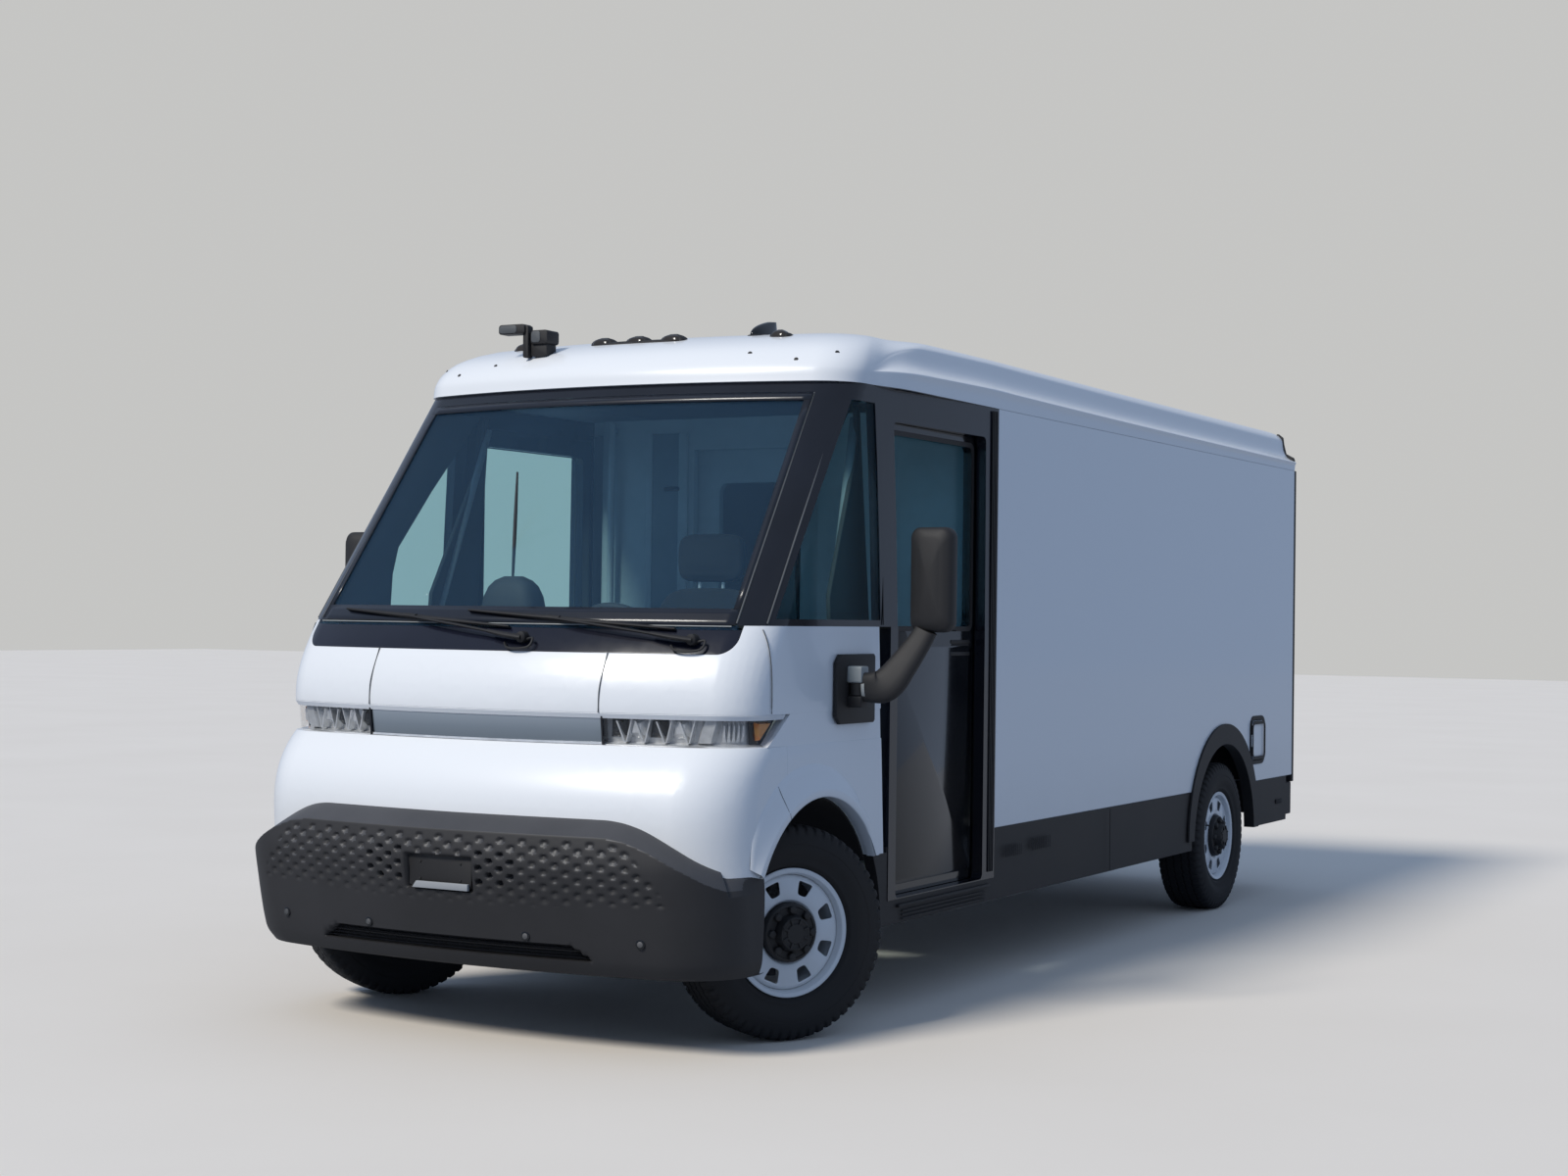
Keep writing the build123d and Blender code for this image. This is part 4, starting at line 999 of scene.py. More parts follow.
def make_rim(name, place, body):
    """A white steel wheel with eight hand holes and a black hub cover with lug bumps."""
    back = -FLANGE_DEPTH
    parts = []
    barrel = [(0.000, 0.2330), (-0.002, 0.2360), (-0.007, 0.2360), (-0.011, 0.2320), (-0.013, 0.2210),
              (-0.060, 0.2160), (-0.072, 0.2080), (-0.120, 0.2080), (back + 0.040, 0.2180),
              (back + 0.014, 0.2200), (back + 0.009, 0.2350), (back + 0.002, 0.2350), (back, 0.2260),
              (back + 0.020, 0.2120), (back + 0.045, 0.2070), (-0.118, 0.2010), (-0.066, 0.2010),
              (-0.054, 0.2060), (-0.030, 0.2110), (-0.010, 0.2140), (-0.003, 0.2200)]
    parts.append(turned("barrel", barrel, RIM, 96))
    slope = [(-0.020, 0.1990), (-0.022, 0.2040), (-0.030, 0.2095), (-0.050, 0.2080), (-0.046, 0.2030),
             (-0.034, 0.1985), (-0.024, 0.1960)]
    parts.append(turned("disc_edge", slope, RIM, 96))
    parts.append(disc_with_holes(-0.020, 0.005, 0.1180, 0.1985, 0.140, 0.190, 0.0185, 0.0315, RIM))
    throat = [(-0.020, 0.1190), (-0.026, 0.1120), (-0.040, 0.1060), (-0.040, 0.0600), (-0.046, 0.0600),
              (-0.046, 0.1090), (-0.030, 0.1160), (-0.025, 0.1195)]
    parts.append(turned("throat", throat, RIM, 72))
    cover = [(-0.030, 0.1090), (-0.008, 0.1085), (-0.001, 0.1060), (0.002, 0.1010), (0.0025, 0.0960),
             (-0.001, 0.0935), (-0.001, 0.0700), (0.004, 0.0670), (0.026, 0.0630), (0.033, 0.0590),
             (0.0345, 0.0540), (0.032, 0.0500), (0.032, 0.0380), (0.036, 0.0350), (0.0370, 0.0000),
             (-0.030, 0.0000)]
    parts.append(turned("hub_cover", cover, HUB_BLACK, 72, smooth=28.0))
    for k in range(HAND_HOLES):
        a = math.radians(45 * k)
        lug = turned("lug_bump", [(-0.010, 0.0), (-0.010, 0.0155), (0.012, 0.0150), (0.0155, 0.0128),
                                  (0.0170, 0.0080), (0.0172, 0.0)], HUB_BLACK, 12)
        lug.data.transform(Matrix.Translation((0, 0.0845 * math.cos(a), 0.0845 * math.sin(a))))
        parts.append(lug)
        rib = slab("hub_rib", round_rect(0.0035, 0.012, 0.003, 2), 0.006, HUB_BLACK, 0.001,
                   place=Matrix.Rotation(a + 0.39, 4, "X") @ Matrix.Translation((0.0375, 0, 0.046))
                   @ Matrix.Rotation(math.pi / 2, 4, "Z"))
        parts.append(rib)
    stem = [Vector((-0.012, 0.0, 0.205)), Vector((0.004, 0.0, 0.200)), Vector((0.016, 0.0, 0.197))]
    valve = pipe("valve", stem, [0.005, 0.0042, 0.0038], HUB_BLACK, 10)
    valve.data.transform(Matrix.Rotation(math.radians(70), 4, "X"))
    parts.append(valve)
    for part in parts:
        part.data.transform(place)
    piece = join("look_" + name, parts, body)
    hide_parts(name)


for end in ("front", "rear"):
    for word, side in SIDES:
        spot = corner_place(side, end == "front")
        wheel_body = end + "_" + word + "_wheel"
        make_rim(end + "_" + word + "_rim", spot, wheel_body)
        make_tyre(end + "_" + word + "_tyre", spot, wheel_body)

# ---------------------------------------------------------------- front bumper
FASCIA = [(0.300, -0.760, 1.047), (0.500, -0.790, 1.050), (0.600, -0.800, 1.055), (0.820, -0.806, 1.055),
          (0.940, -0.786, 1.055), (1.000, -0.756, 1.055)]
BUMPER = [(0.290, -0.800, 1.040), (0.330, -0.832, 1.052), (0.380, -0.850, 1.055), (0.450, -0.866, 1.058),
          (0.520, -0.880, 1.060), (0.660, -0.906, 1.060), (0.745, -0.898, 1.060), (0.825, -0.880, 1.058)]
BUMPER_EDGE = [(0.0, 0.832), (0.60, 0.832), (0.65, 0.829), (0.70, 0.820), (0.76, 0.800), (0.82, 0.770),
               (0.88, 0.735), (0.94, 0.696), (0.98, 0.672), (1.02, 0.650), (1.045, 0.640), (1.062, 0.634)]
PATTERN_END = [(0.540, 0.900), (0.580, 0.880), (0.726, 0.760), (0.770, 0.680), (0.80, 0.60)]
BUMPER_BULGE = 4.2
BUMPER_CORNER = 0.27
BUMPER_REAR = -0.414


def bumper_skin(share, z, raised):
    """Point on the bumper at a share of the way round, height z; raised 0 is the fascia behind it."""
    found = []
    for table in (FASCIA, BUMPER):
        nose, half = curved(table, z)
        plan = Plan(nose + FRONT_AXLE, half, BUMPER_BULGE, BUMPER_CORNER)
        s = share * plan.length_to(FRONT_AXLE + BUMPER_REAR)
        found.append(plan.at(s))
    (x0, y0, _), (x1, y1, n1) = found
    return Vector((mix(x0, x1, raised), mix(y0, y1, raised), z)), Vector((n1[0], n1[1], 0))


def dimple(s, z, size=1.0):
    """Depth share of the pressed pattern at distance s and height z: offset columns of rounded pits."""
    pitch_s, pitch_z = 0.044, 0.050
    column = math.floor(s / pitch_s + 0.5)
    deepest = 0.0
    for c in (column - 1, column, column + 1):
        shift = 0.5 if c % 2 else 0.0
        row = math.floor(z / pitch_z - shift + 0.5)
        ds = (s - c * pitch_s) / (0.0135 * size)
        dz = (z - (row + shift) * pitch_z) / (0.0115 * size)
        far = math.sqrt(ds * ds + dz * dz)
        deepest = max(deepest, (1 - ease(far, 0.72, 1.08)) * (0.75 + 0.35 * max(-1, min(1, dz))))
    return deepest


def make_bumper():
    """Black cladding: chamfered top band that sweeps down at the corners, pits, grille and lip."""
    across = 420
    heights_low = [0.290, 0.300, 0.315, 0.330, 0.342, 0.347, 0.352, 0.370, 0.388, 0.393, 0.400, 0.415,
                   0.430, 0.450, 0.470, 0.490, 0.505]
    down = 66
    rows = []
    mid_plan = Plan(-0.900 + FRONT_AXLE, 1.060, BUMPER_BULGE, BUMPER_CORNER)
    span = mid_plan.length_to(FRONT_AXLE + BUMPER_REAR)
    columns = [k / across * 2 - 1 for k in range(across + 1)]
    top_of = []
    for share in columns:
        x, y, _ = mid_plan.at(share * span)
        edge_x = bumper_skin(share, 0.76, 0.03)[0].x
        top = curved(BUMPER_EDGE, abs(edge_x))[0]
        if y > FRONT_AXLE - 0.64:
            top = min(top, 0.636)
        fall = (curved(BUMPER_EDGE, abs(x) - 0.02)[0] - curved(BUMPER_EDGE, abs(x) + 0.02)[0]) / 0.04
        top_of.append((abs(x), top, 1 / math.sqrt(1 + fall * fall)))
    for v in range(len(heights_low) + down):
        row = []
        for share, (x, top, lean) in zip(columns, top_of):
            if v < len(heights_low):
                z = heights_low[v]
            else:
                z = mix(0.505, top, (v - len(heights_low) + 1) / down)
            below = (top - z) * lean
            raised = mix(0.03, 1.0, min(1.0, max(0.0, below / 0.054)) ** 0.85)
            point, out = bumper_skin(share, z, raised)
            s = share * span
            push = 0.0
            edge_low = 0.520 + 0.02 * ease(x, 0.2, 0.9)
            slant = along(PATTERN_END, z)[0]
            zone = ease(below, 0.064, 0.078) * ease(z, edge_low, edge_low + 0.02)
            zone *= 1 - ease(x, slant - 0.01, slant + 0.01)
            pocket = x < 0.150 and 0.560 < z < 0.690
            if zone > 0 and not pocket:
                fade = 0.45 + 0.55 * ease(z, 0.52, 0.60)
                push += 0.0095 * dimple(s, z, 1.12) * zone * fade
                if 0.152 < x < 0.335 and 0.594 < z < 0.706:
                    push += 0.020 * dimple(s, z, 0.95)
            if pocket:
                inside = ease(0.150 - x, 0.0, 0.008) * ease(z, 0.560, 0.568) * (1 - ease(z, 0.682, 0.690))
                push += 0.024 * inside
            end = along([(0.345, 0.630), (0.392, 0.550)], z)[0]
            if 0.345 < z < 0.395 and x < end:
                push += 0.045 * ease(end - x, 0.0, 0.03)
            row.append(point - out * push)
        rows.append(row)
    lip = [[p + Vector((0, 0.030, 0.004)) for p in rows[0]]]
    tuck = [[bumper_skin(share, top + 0.006, -0.10)[0] for share, (x, top, lean) in zip(columns, top_of)]]
    piece = surface("bumper_cladding", lip + rows + tuck, BUMPER_BLACK, smooth=42.0)
    thicken(piece, 0.004)
    apply_all(piece)
    # Faces looking up on the top band take the lighter black: painted sky light, chosen by which way each
    # face points.
    piece.data.materials.append(SKY_LIT_BAND_BLACK)
    for face in piece.data.polygons:
        if face.normal.z > 0.36 and face.center.z > 0.60:
            face.material_index = 1
    smooth_shade(piece.data, 60.0)
    parts = [piece]
    for k, z in enumerate((0.3535, 0.3660, 0.3785, 0.3885)):
        bar = [bumper_skin(q / 40 * 0.47, z, 1.0) for q in range(-40, 41)]
        bar = [p - n * (0.016 + 0.004 * (k % 2)) for p, n in bar]
        parts.append(pipe("grille_slat", bar, 0.0042, GLOSS, 6, 0.7))
    for x, z in ((0.782, 0.418), (0.345, 0.420)):
        for side in (1, -1):
            share = next(k / 1000 for k in range(1000) if bumper_skin(k / 1000, z, 1.0)[0].x >= x)
            p, n = bumper_skin(share * side, z, 1.0)
            spin = facing(p, n)
            for name, radius, deep, lift, material in (("sensor_ring", 0.0175, 0.007, 0.0035, GLOSS),
                                                       ("sensor_eye", 0.0105, 0.007, 0.0050, CAST)):
                part = slab(name, round_rect(radius, radius, radius * 0.98, 6), deep, material, 0.0012,
                            place=spin @ Matrix.Translation((0, -lift, 0)))
                parts.append(part)
    plate_back = slab("plate_face", round_rect(0.136, 0.055, 0.006, 3), 0.004, BLACK, 0.001,
                      place=moved(0, -0.882, 0.628))
    parts.append(plate_back)
    parts.append(slab("plate_ledge", [(-0.112, 0.0), (0.132, 0.0), (0.132, 0.024), (-0.095, 0.024)], 0.014,
                      grained_plastic("ledge_grey", (0.30, 0.31, 0.32), 0.4), 0.002,
                      place=moved(0, -0.900, 0.566)))
    for x in (-0.0889, 0.0889):
        for z in (0.598, 0.658):
            parts.append(slab("plate_screw", round_rect(0.0045, 0.0045, 0.0044, 3), 0.004, HUB_BLACK, 0.0006,
                              place=moved(x, -0.885, z)))
    piece = join("bumper_cladding", parts, "chassis")
    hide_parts("front_bumper")


make_bumper()


# ---------------------------------------------------------------- light band
BAND_LOW, BAND_HIGH = 1.085, 1.199
BAND_HALF = 1.051
CHROME = metal("lamp_bright", (0.84, 0.85, 0.86), 0.12, 20.0, bare=0.55)
BEZEL = metal("lamp_bezel", (0.60, 0.61, 0.62), 0.28, 30.0, bare=0.35)
LAMP_DARK = gloss_black("lamp_dark", (0.008, 0.009, 0.012), 0.15)
SEAM_GREY = grained_plastic("seam_grey", (0.075, 0.080, 0.085), 0.5, 300.0, 0.05)


def amber_lens():
    f = Finish("amber_lens", Coat_Weight=0.6, Coat_Roughness=0.05, Roughness=0.2)
    _, y, _ = f.axes()
    ribs = (y * 900.0).sine() * 0.5 + 0.5
    f.set(Base_Color=f.blend(ribs * 0.6, (0.75, 0.22, 0.02), (0.95, 0.42, 0.06)))
    f.bump(ribs, 0.5, 0.001)
    return f.material


def bar_cover():
    """The smoked grey-blue cover of the middle bar, with a painted sky sheen that makes it lighter towards
    its top edge.
    """
    f = Finish("bar_cover", Coat_Weight=0.8, Coat_Roughness=0.03, Roughness=0.12, Metallic=0.35)
    _, _, z = f.axes()
    # Painted sheen: the colour climbs with height from smoked grey to light blue-grey, standing in for sky
    # reflected on the upper part.
    painted_sheen_rise = ((z - BAND_LOW) * (1 / (BAND_HIGH - BAND_LOW))).most(0.0).least(1.0)
    f.set(Base_Color=f.ramp(painted_sheen_rise + f.noise(6.0, 3.0) * 0.06, (0.0, (0.14, 0.17, 0.20)),
                            (0.45, (0.20, 0.24, 0.28)), (1.0, (0.34, 0.39, 0.44))))
    return f.material


AMBER = amber_lens()
BAR_COVER = bar_cover()
LAMP_BLADES = (
    [(0.030, 0.012, 0.050), (0.040, 0.012, 0.050), (0.066, -0.014, 0.050), (0.056, -0.014, 0.050),
     (0.030, 0.012, 0.020), (0.035, 0.012, 0.020), (0.062, -0.014, 0.020), (0.057, -0.014, 0.020)],
    [(0.022, 0.012, 0.050), (0.032, 0.012, 0.050), (0.006, -0.026, 0.050), (-0.004, -0.026, 0.050),
     (0.024, 0.012, 0.018), (0.030, 0.012, 0.018), (0.004, -0.026, 0.018), (-0.002, -0.026, 0.018)])
LAMP_WEDGE = [
    (0.345, 0.010, 0.050), (0.415, 0.010, 0.050), (0.455, -0.012, 0.050), (0.372, -0.012, 0.050),
    (0.355, 0.014, 0.026), (0.400, 0.014, 0.022), (0.430, -0.018, 0.022), (0.385, -0.018, 0.026)]


def band_point(s, z, inward):
    nose = mix(-0.684, -0.697, (z - BAND_LOW) / (BAND_HIGH - BAND_LOW))
    x, y, n = level(nose, BAND_HALF).at(s, -inward)
    return Vector((x, y, z)), Vector((n[0], n[1], 0))


def band_strip(name, s0, s1, z0, z1, inward0, inward1, material, steps=40, thick=0.004):
    """A curved strip of the band; s0 and s1 may be (low edge, high edge) pairs."""
    s0 = s0 if isinstance(s0, tuple) else (s0, s0)
    s1 = s1 if isinstance(s1, tuple) else (s1, s1)
    rows = []
    for k in range(7):
        t = k / 6
        z = mix(z0, z1, t)
        low, high = mix(s0[0], s0[1], t), mix(s1[0], s1[1], t)
        rows.append([band_point(mix(low, high, q / steps), z, mix(inward0, inward1, t))[0]
                     for q in range(steps + 1)])
    piece = surface(name, rows, material, smooth=60.0)
    thicken(piece, thick, 0.0)
    apply_all(piece)
    smooth_shade(piece.data, 45.0)
    return piece


def band_prism(name, corners, material):
    """A faceted block from (s, z, inward) corners: the first half is the back, the second the front."""
    half = len(corners) // 2
    points = [band_point(*c)[0] for c in corners]
    faces = [tuple(range(half)), tuple(range(half, 2 * half))[::-1]]
    faces += [(k, (k + 1) % half, (k + 1) % half + half, k + half) for k in range(half)]
    return loose(name, points, faces, material, 15.0)


def gem(s_mid, s_half, z_mid, z_half, inward, deep, material, lean=0.0):
    """A cut reflector: a flat-topped pyramid with its back on the lamp's floor."""
    back = [(s_mid - s_half, z_mid - z_half, inward), (s_mid + s_half, z_mid - z_half, inward),
            (s_mid + s_half + lean, z_mid + z_half, inward), (s_mid - s_half + lean, z_mid + z_half, inward)]
    front = [(s_mid - s_half * 0.45, z_mid - z_half * 0.5, inward - deep),
             (s_mid + s_half * 0.45, z_mid - z_half * 0.5, inward - deep),
             (s_mid + s_half * 0.35 + lean, z_mid + z_half * 0.5, inward - deep),
             (s_mid - s_half * 0.35 + lean, z_mid + z_half * 0.5, inward - deep)]
    return band_prism("cut_reflector", back + front, material)


def make_lamps():
    """Wrap-round lamps: bright cut reflectors, side marker, clear cover; smoked bar between them."""
    plan = level(-0.690, BAND_HALF)
    end_high = plan.length_to(FRONT_AXLE - 0.246)
    end_low = plan.length_to(FRONT_AXLE - 0.380)
    inner = next(k / 1000 for k in range(1000) if plan.at(k / 1000)[0] >= 0.516)
    parts, lenses = [], []
    centre = (BAND_LOW + BAND_HIGH) / 2

    def cut(name, start, corners, material):
        """A prism whose corner heights count up from the band's foot, or down from its head."""
        return band_prism(name, [(start + s, (BAND_LOW if z > 0 else BAND_HIGH) + z, inward)
                                 for s, z, inward in corners], material)

    for side in (1, -1):
        box = [
            band_strip("lamp_floor", inner, (end_low, end_high), BAND_LOW + 0.001, BAND_HIGH - 0.001,
                       0.052, 0.052, BEZEL),
            band_strip("lamp_base", inner, end_low, BAND_LOW + 0.001, BAND_LOW + 0.010, 0.016, 0.050, CHROME),
            band_strip("lamp_roof", inner, end_high, BAND_HIGH - 0.010, BAND_HIGH - 0.001, 0.050, 0.016,
                       BEZEL),
            band_strip("lamp_side", inner, inner + 0.006, BAND_LOW, BAND_HIGH, 0.03, 0.03, LAMP_DARK, 2,
                       0.05)]
        for k, s in enumerate((0.055, 0.125, 0.205, 0.290)):
            box.append(gem(inner + s, 0.034, centre + 0.006, 0.034, 0.050, 0.022,
                           CHROME if k % 2 else LAMP_DARK, 0.006))
            for blade in LAMP_BLADES:
                box.append(cut("blade", inner + s, blade, CHROME))
        box.append(cut("wedge", inner, LAMP_WEDGE, BEZEL))
        for k in range(5):
            box.append(gem(inner + 0.455 + k * 0.021, 0.0095, centre, 0.040, 0.050, 0.016, CHROME, 0.004))
        start = inner + 0.572
        box.append(band_strip("marker_back", (start, start), (end_low - 0.004, end_high - 0.006),
                              BAND_LOW + 0.004, BAND_HIGH - 0.004, 0.040, 0.040, LAMP_DARK, 16))
        near, far = start + 0.030, end_low - 0.030
        box.append(cut("amber", 0.0, [
            (near, 0.022, 0.040), (far, 0.022, 0.040), (far + 0.085, -0.026, 0.040),
            (near - 0.004, -0.026, 0.040), (near + 0.006, 0.027, 0.018), (far - 0.004, 0.027, 0.018),
            (far + 0.072, -0.031, 0.018), (near + 0.004, -0.031, 0.018)], AMBER))
        cover = band_strip("lamp_cover", inner + 0.003, (end_low, end_high), BAND_LOW + 0.003,
                           BAND_HIGH - 0.003, 0.014, 0.014, LENS, 60, 0.003)
        sided(box + [cover], side)
        parts += box
        lenses.append(cover)
    piece = join("lamp_units", parts, "chassis")
    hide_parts("headlamps")
    join("lamp_covers", lenses, "chassis")
    middle = [
        band_strip("bar_face", -inner + 0.004, inner - 0.004, BAND_LOW + 0.010, BAND_HIGH - 0.010, 0.018,
                   0.015,
                   BAR_COVER, 60, 0.006),
        band_strip("bar_foot", -inner + 0.002, inner - 0.002, BAND_LOW + 0.001, BAND_LOW + 0.009, 0.012,
                   0.014,
                   CHROME, 60, 0.006),
        band_strip("bar_head", -inner + 0.002, inner - 0.002, BAND_HIGH - 0.009, BAND_HIGH - 0.002, 0.016,
                   0.020,
                   BEZEL, 60, 0.006),
        band_strip("bar_back", -inner, inner, BAND_LOW, BAND_HIGH, 0.045, 0.045, LAMP_DARK, 40, 0.010)]
    piece = join("smoked_bar", middle, "chassis")
    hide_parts("light_bar")
    lip = band_strip("band_lip", -end_high + 0.012, end_high - 0.012, BAND_HIGH - 0.018, BAND_HIGH - 0.001,
                     0.011, 0.001, WHITE, 160, 0.004)
    join("band_lip", [lip], "chassis")


make_lamps()


# ---------------------------------------------------------------- mirrors
MIRROR_FACE = metal("mirror_face", (0.75, 0.78, 0.80), 0.03, 5.0)


def swollen_box(name, low, high, radius, material, bulge_y=0.0):
    """A rounded box whose back swells; subdivided so its edges are soft."""
    x0, y0, z0 = low
    x1, y1, z1 = high
    rows = []
    for t in [0.0, 0.08, 0.25, 0.5, 0.75, 0.92, 1.0]:
        shrink = radius * (1 - math.sqrt(max(0.0, 1 - (2 * abs(t - 0.5)) ** 4)))
        y = mix(y0, y1, t)
        outline = round_rect((x1 - x0) / 2 - shrink, (z1 - z0) / 2 - shrink, radius, 6,
                             ((x0 + x1) / 2, (z0 + z1) / 2))
        rows.append([(x, y, z) for x, z in outline])
    edge = rows[0]
    for share in (0.10, 0.22, 0.38, 0.58, 0.80, 0.97):
        swell = bulge_y * (1 - (1 - share) ** 2)
        rows.insert(0, [(mix(x, (x0 + x1) / 2, share), y0 - swell, mix(z, (z0 + z1) / 2, share))
                        for x, y, z in edge])
    return surface(name, rows, material, loop=True, ends=True, smooth=50.0)


def make_mirrors():
    """Tall door mirrors on a kinked arm, with a folding knuckle on a plate."""
    hinge = at(1.104, 0.200, 1.280)
    for word, side in SIDES:
        parts = []
        parts.append(swollen_box("mirror_shell", (1.262, FRONT_AXLE + 0.285, 1.495),
                                 (1.432, FRONT_AXLE + 0.382, 1.888), 0.040, BLACK, 0.012))
        parts.append(slab("mirror_glass", round_rect(0.070, 0.118, 0.022, 5), 0.003, MIRROR_FACE, 0.001,
                          place=moved(1.347, 0.3815, 1.745)))
        parts.append(slab("mirror_low_glass", round_rect(0.070, 0.050, 0.018, 5), 0.003, MIRROR_FACE, 0.001,
                          place=moved(1.347, 0.3815, 1.560)))
        for z0, z1 in ((1.500, 1.505), (1.618, 1.622)):
            parts.append(slab("shell_line", [(-0.072, z0), (0.072, z0), (0.072, z1), (-0.072, z1)], 0.004,
                              HUB_BLACK, 0.0008, place=moved(1.347, 0.381, 0)))
        sections = [((1.128, 0.205, 1.2880), 0.054, 0.030), ((1.160, 0.213, 1.2880), 0.058, 0.032),
                    ((1.196, 0.224, 1.2930), 0.062, 0.034), ((1.226, 0.238, 1.3200), 0.062, 0.034),
                    ((1.254, 0.256, 1.3640), 0.056, 0.033), ((1.284, 0.278, 1.4150), 0.050, 0.031),
                    ((1.310, 0.298, 1.4640), 0.045, 0.030), ((1.328, 0.312, 1.5040), 0.042, 0.029)]
        fine = smooth_path([c for c, _, _ in sections], 4)
        rows = []
        for k, c in enumerate(fine):
            ahead = (fine[min(k + 1, len(fine) - 1)] - fine[max(k - 1, 0)]).normalized()
            tall = curved([(j, sections[j][1], sections[j][2]) for j in range(len(sections))], k / 4)
            up = Vector((-ahead.z, 0.0, ahead.x)).normalized()
            row = []
            for q in range(20):
                a = 2 * math.pi * q / 20
                d, e = math.cos(a), math.sin(a)
                r = (abs(d) ** 3.2 + abs(e) ** 3.2) ** (-1 / 3.2)
                row.append(c + Vector((0, FRONT_AXLE, 0)) + up * (r * d * tall[0])
                           + Vector((0, r * e * tall[1], 0)))
            rows.append(row)
        parts.append(surface("mirror_arm", rows, BLACK, loop=True, ends=True, smooth=50.0))
        barrel = turned("mirror_barrel", [(-0.0235, 0.0), (-0.0235, 0.027), (-0.021, 0.0298), (0.021, 0.0298),
                                          (0.0235, 0.027), (0.0235, 0.0)], BLACK, 32)
        barrel.data.transform(Matrix.Translation(hinge) @ Matrix.Rotation(math.pi / 2, 4, "Y"))
        parts.append(barrel)
        parts.append(pipe("arm_collar", [hinge + Vector((0.018, 0.004, 0.0)),
                                         hinge + Vector((0.030, 0.007, 0.001))],
                          [0.034, 0.036], SLEEVE, 20, 1.2))
        piece = join("look_" + word + "_mirror", sided(parts, side), word + "_mirror")
        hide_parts(word + "_mirror")
    plates = []
    for side in (1, -1):
        outline = [(-0.155, -0.100), (-0.155, 0.100), (-0.125, 0.130), (0.150, 0.130), (0.160, 0.120),
                   (0.160, -0.120), (0.150, -0.130), (-0.125, -0.130)]
        plate = slab("mirror_plate", outline, 0.018, BLACK, 0.004,
                     place=facing(at(1.0735, 0.245, 1.280), (1, 0, 0)))
        plates_here = [plate]
        for low, high, material in ((1.212, 1.256, BLACK), (1.304, 1.366, SLEEVE)):
            block = slab("hinge_block", round_rect(0.031, (high - low) / 2, 0.008, 3), 0.060, material, 0.004,
                         place=facing(at(1.132, 0.200, (low + high) / 2), (1, 0, 0)))
            plates_here.append(block)
        plates += sided(plates_here, side)
    piece = join("mirror_plates", plates, "chassis")
    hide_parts("mirror_brackets")


make_mirrors()


# ---------------------------------------------------------------- wipers
SCREEN_FOOT, SCREEN_NOSE = 1.513, -0.573
SCREEN_RISE, SCREEN_RUN = 0.932, 0.698


def screen_point(x, z, proud):
    """A point `proud` ahead of the scuttle or windshield."""
    if z < SCREEN_FOOT:
        nose = mix(-0.640, SCREEN_NOSE, (z - 1.410) / 0.103)
    else:
        nose = SCREEN_NOSE + (z - SCREEN_FOOT) * SCREEN_RUN / SCREEN_RISE
    y = nose + BULGE - math.sqrt(BULGE ** 2 - x * x)
    return at(x, y - proud, z)


def make_wipers():
    """Two arms with their blades, pivot caps and washer hoses."""
    parts = []
    for pivot in (0.815, 0.160):
        base = screen_point(pivot, 1.462, 0.030)
        cap = turned("pivot_cap", [(-0.020, 0.0), (-0.020, 0.021), (0.008, 0.020), (0.014, 0.014),
                                   (0.016, 0.0)],
                     BLACK, 24)
        cap.data.transform(Matrix.Translation(base) @ Matrix.Rotation(-math.pi / 2, 4, "Z"))
        parts.append(cap)
        knuckle = pipe("arm_root", [screen_point(pivot + 0.006, 1.460, 0.034),
                                    screen_point(pivot - 0.070, 1.470, 0.040),
                                    screen_point(pivot - 0.150, 1.482, 0.038)], [0.020, 0.018, 0.013],
                                    BLACK, 10, 0.55)
        parts.append(knuckle)
        arm = smooth_path([screen_point(pivot - 0.140, 1.480, 0.038),
                           screen_point(pivot - 0.300, 1.502, 0.040),
                           screen_point(pivot - 0.440, 1.518, 0.036),
                           screen_point(pivot - 0.560, 1.532, 0.026)], 6)
        parts.append(pipe("arm_rod", arm, 0.0090, BLACK, 8, 0.6))
        blade = [screen_point(pivot - 0.080 - 0.870 * k / 24, 1.499 + 0.058 * k / 24,
                              0.016) for k in range(25)]
        radii = [mix(0.006, 0.0135, math.sin(math.pi * min(1, max(0, k / 24)))) for k in range(25)]
        parts.append(pipe("blade_spine", blade, radii, BLACK, 8, 0.7))
        rubber = [screen_point(pivot - 0.080 - 0.870 * k / 24, 1.496 + 0.058 * k / 24,
                               0.0062) for k in range(25)]
        parts.append(pipe("blade_rubber", rubber, 0.0042, RUBBER, 6, 1.0))
        holder = [screen_point(pivot - 0.530, 1.530, 0.022), screen_point(pivot - 0.590, 1.534, 0.022)]
        parts.append(pipe("blade_clip", holder, 0.013, BLACK, 8, 0.8))
        hose = smooth_path([screen_point(pivot + 0.012, 1.452, 0.018),
                            screen_point(pivot + 0.046, 1.458, 0.026),
                            screen_point(pivot + 0.040, 1.428, 0.024),
                            screen_point(pivot - 0.010, 1.420, 0.022),
                            screen_point(pivot - 0.052, 1.424, 0.020),
                            screen_point(pivot - 0.074, 1.440, 0.014)], 8)
        parts.append(pipe("washer_hose", hose, 0.0045, HUB_BLACK, 8))
    piece = join("wiper_set", parts, "chassis")
    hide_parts("wipers")


make_wipers()


# ---------------------------------------------------------------- wheel arch flares
FLARE_EDGE = [(-61, 0.575), (-50, 0.628), (-30, 0.648), (-8, 0.632), (8, 0.612), (20, 0.592), (31, 0.575),
              (38, 0.556),
              (43, 0.542), (60, 0.538)]


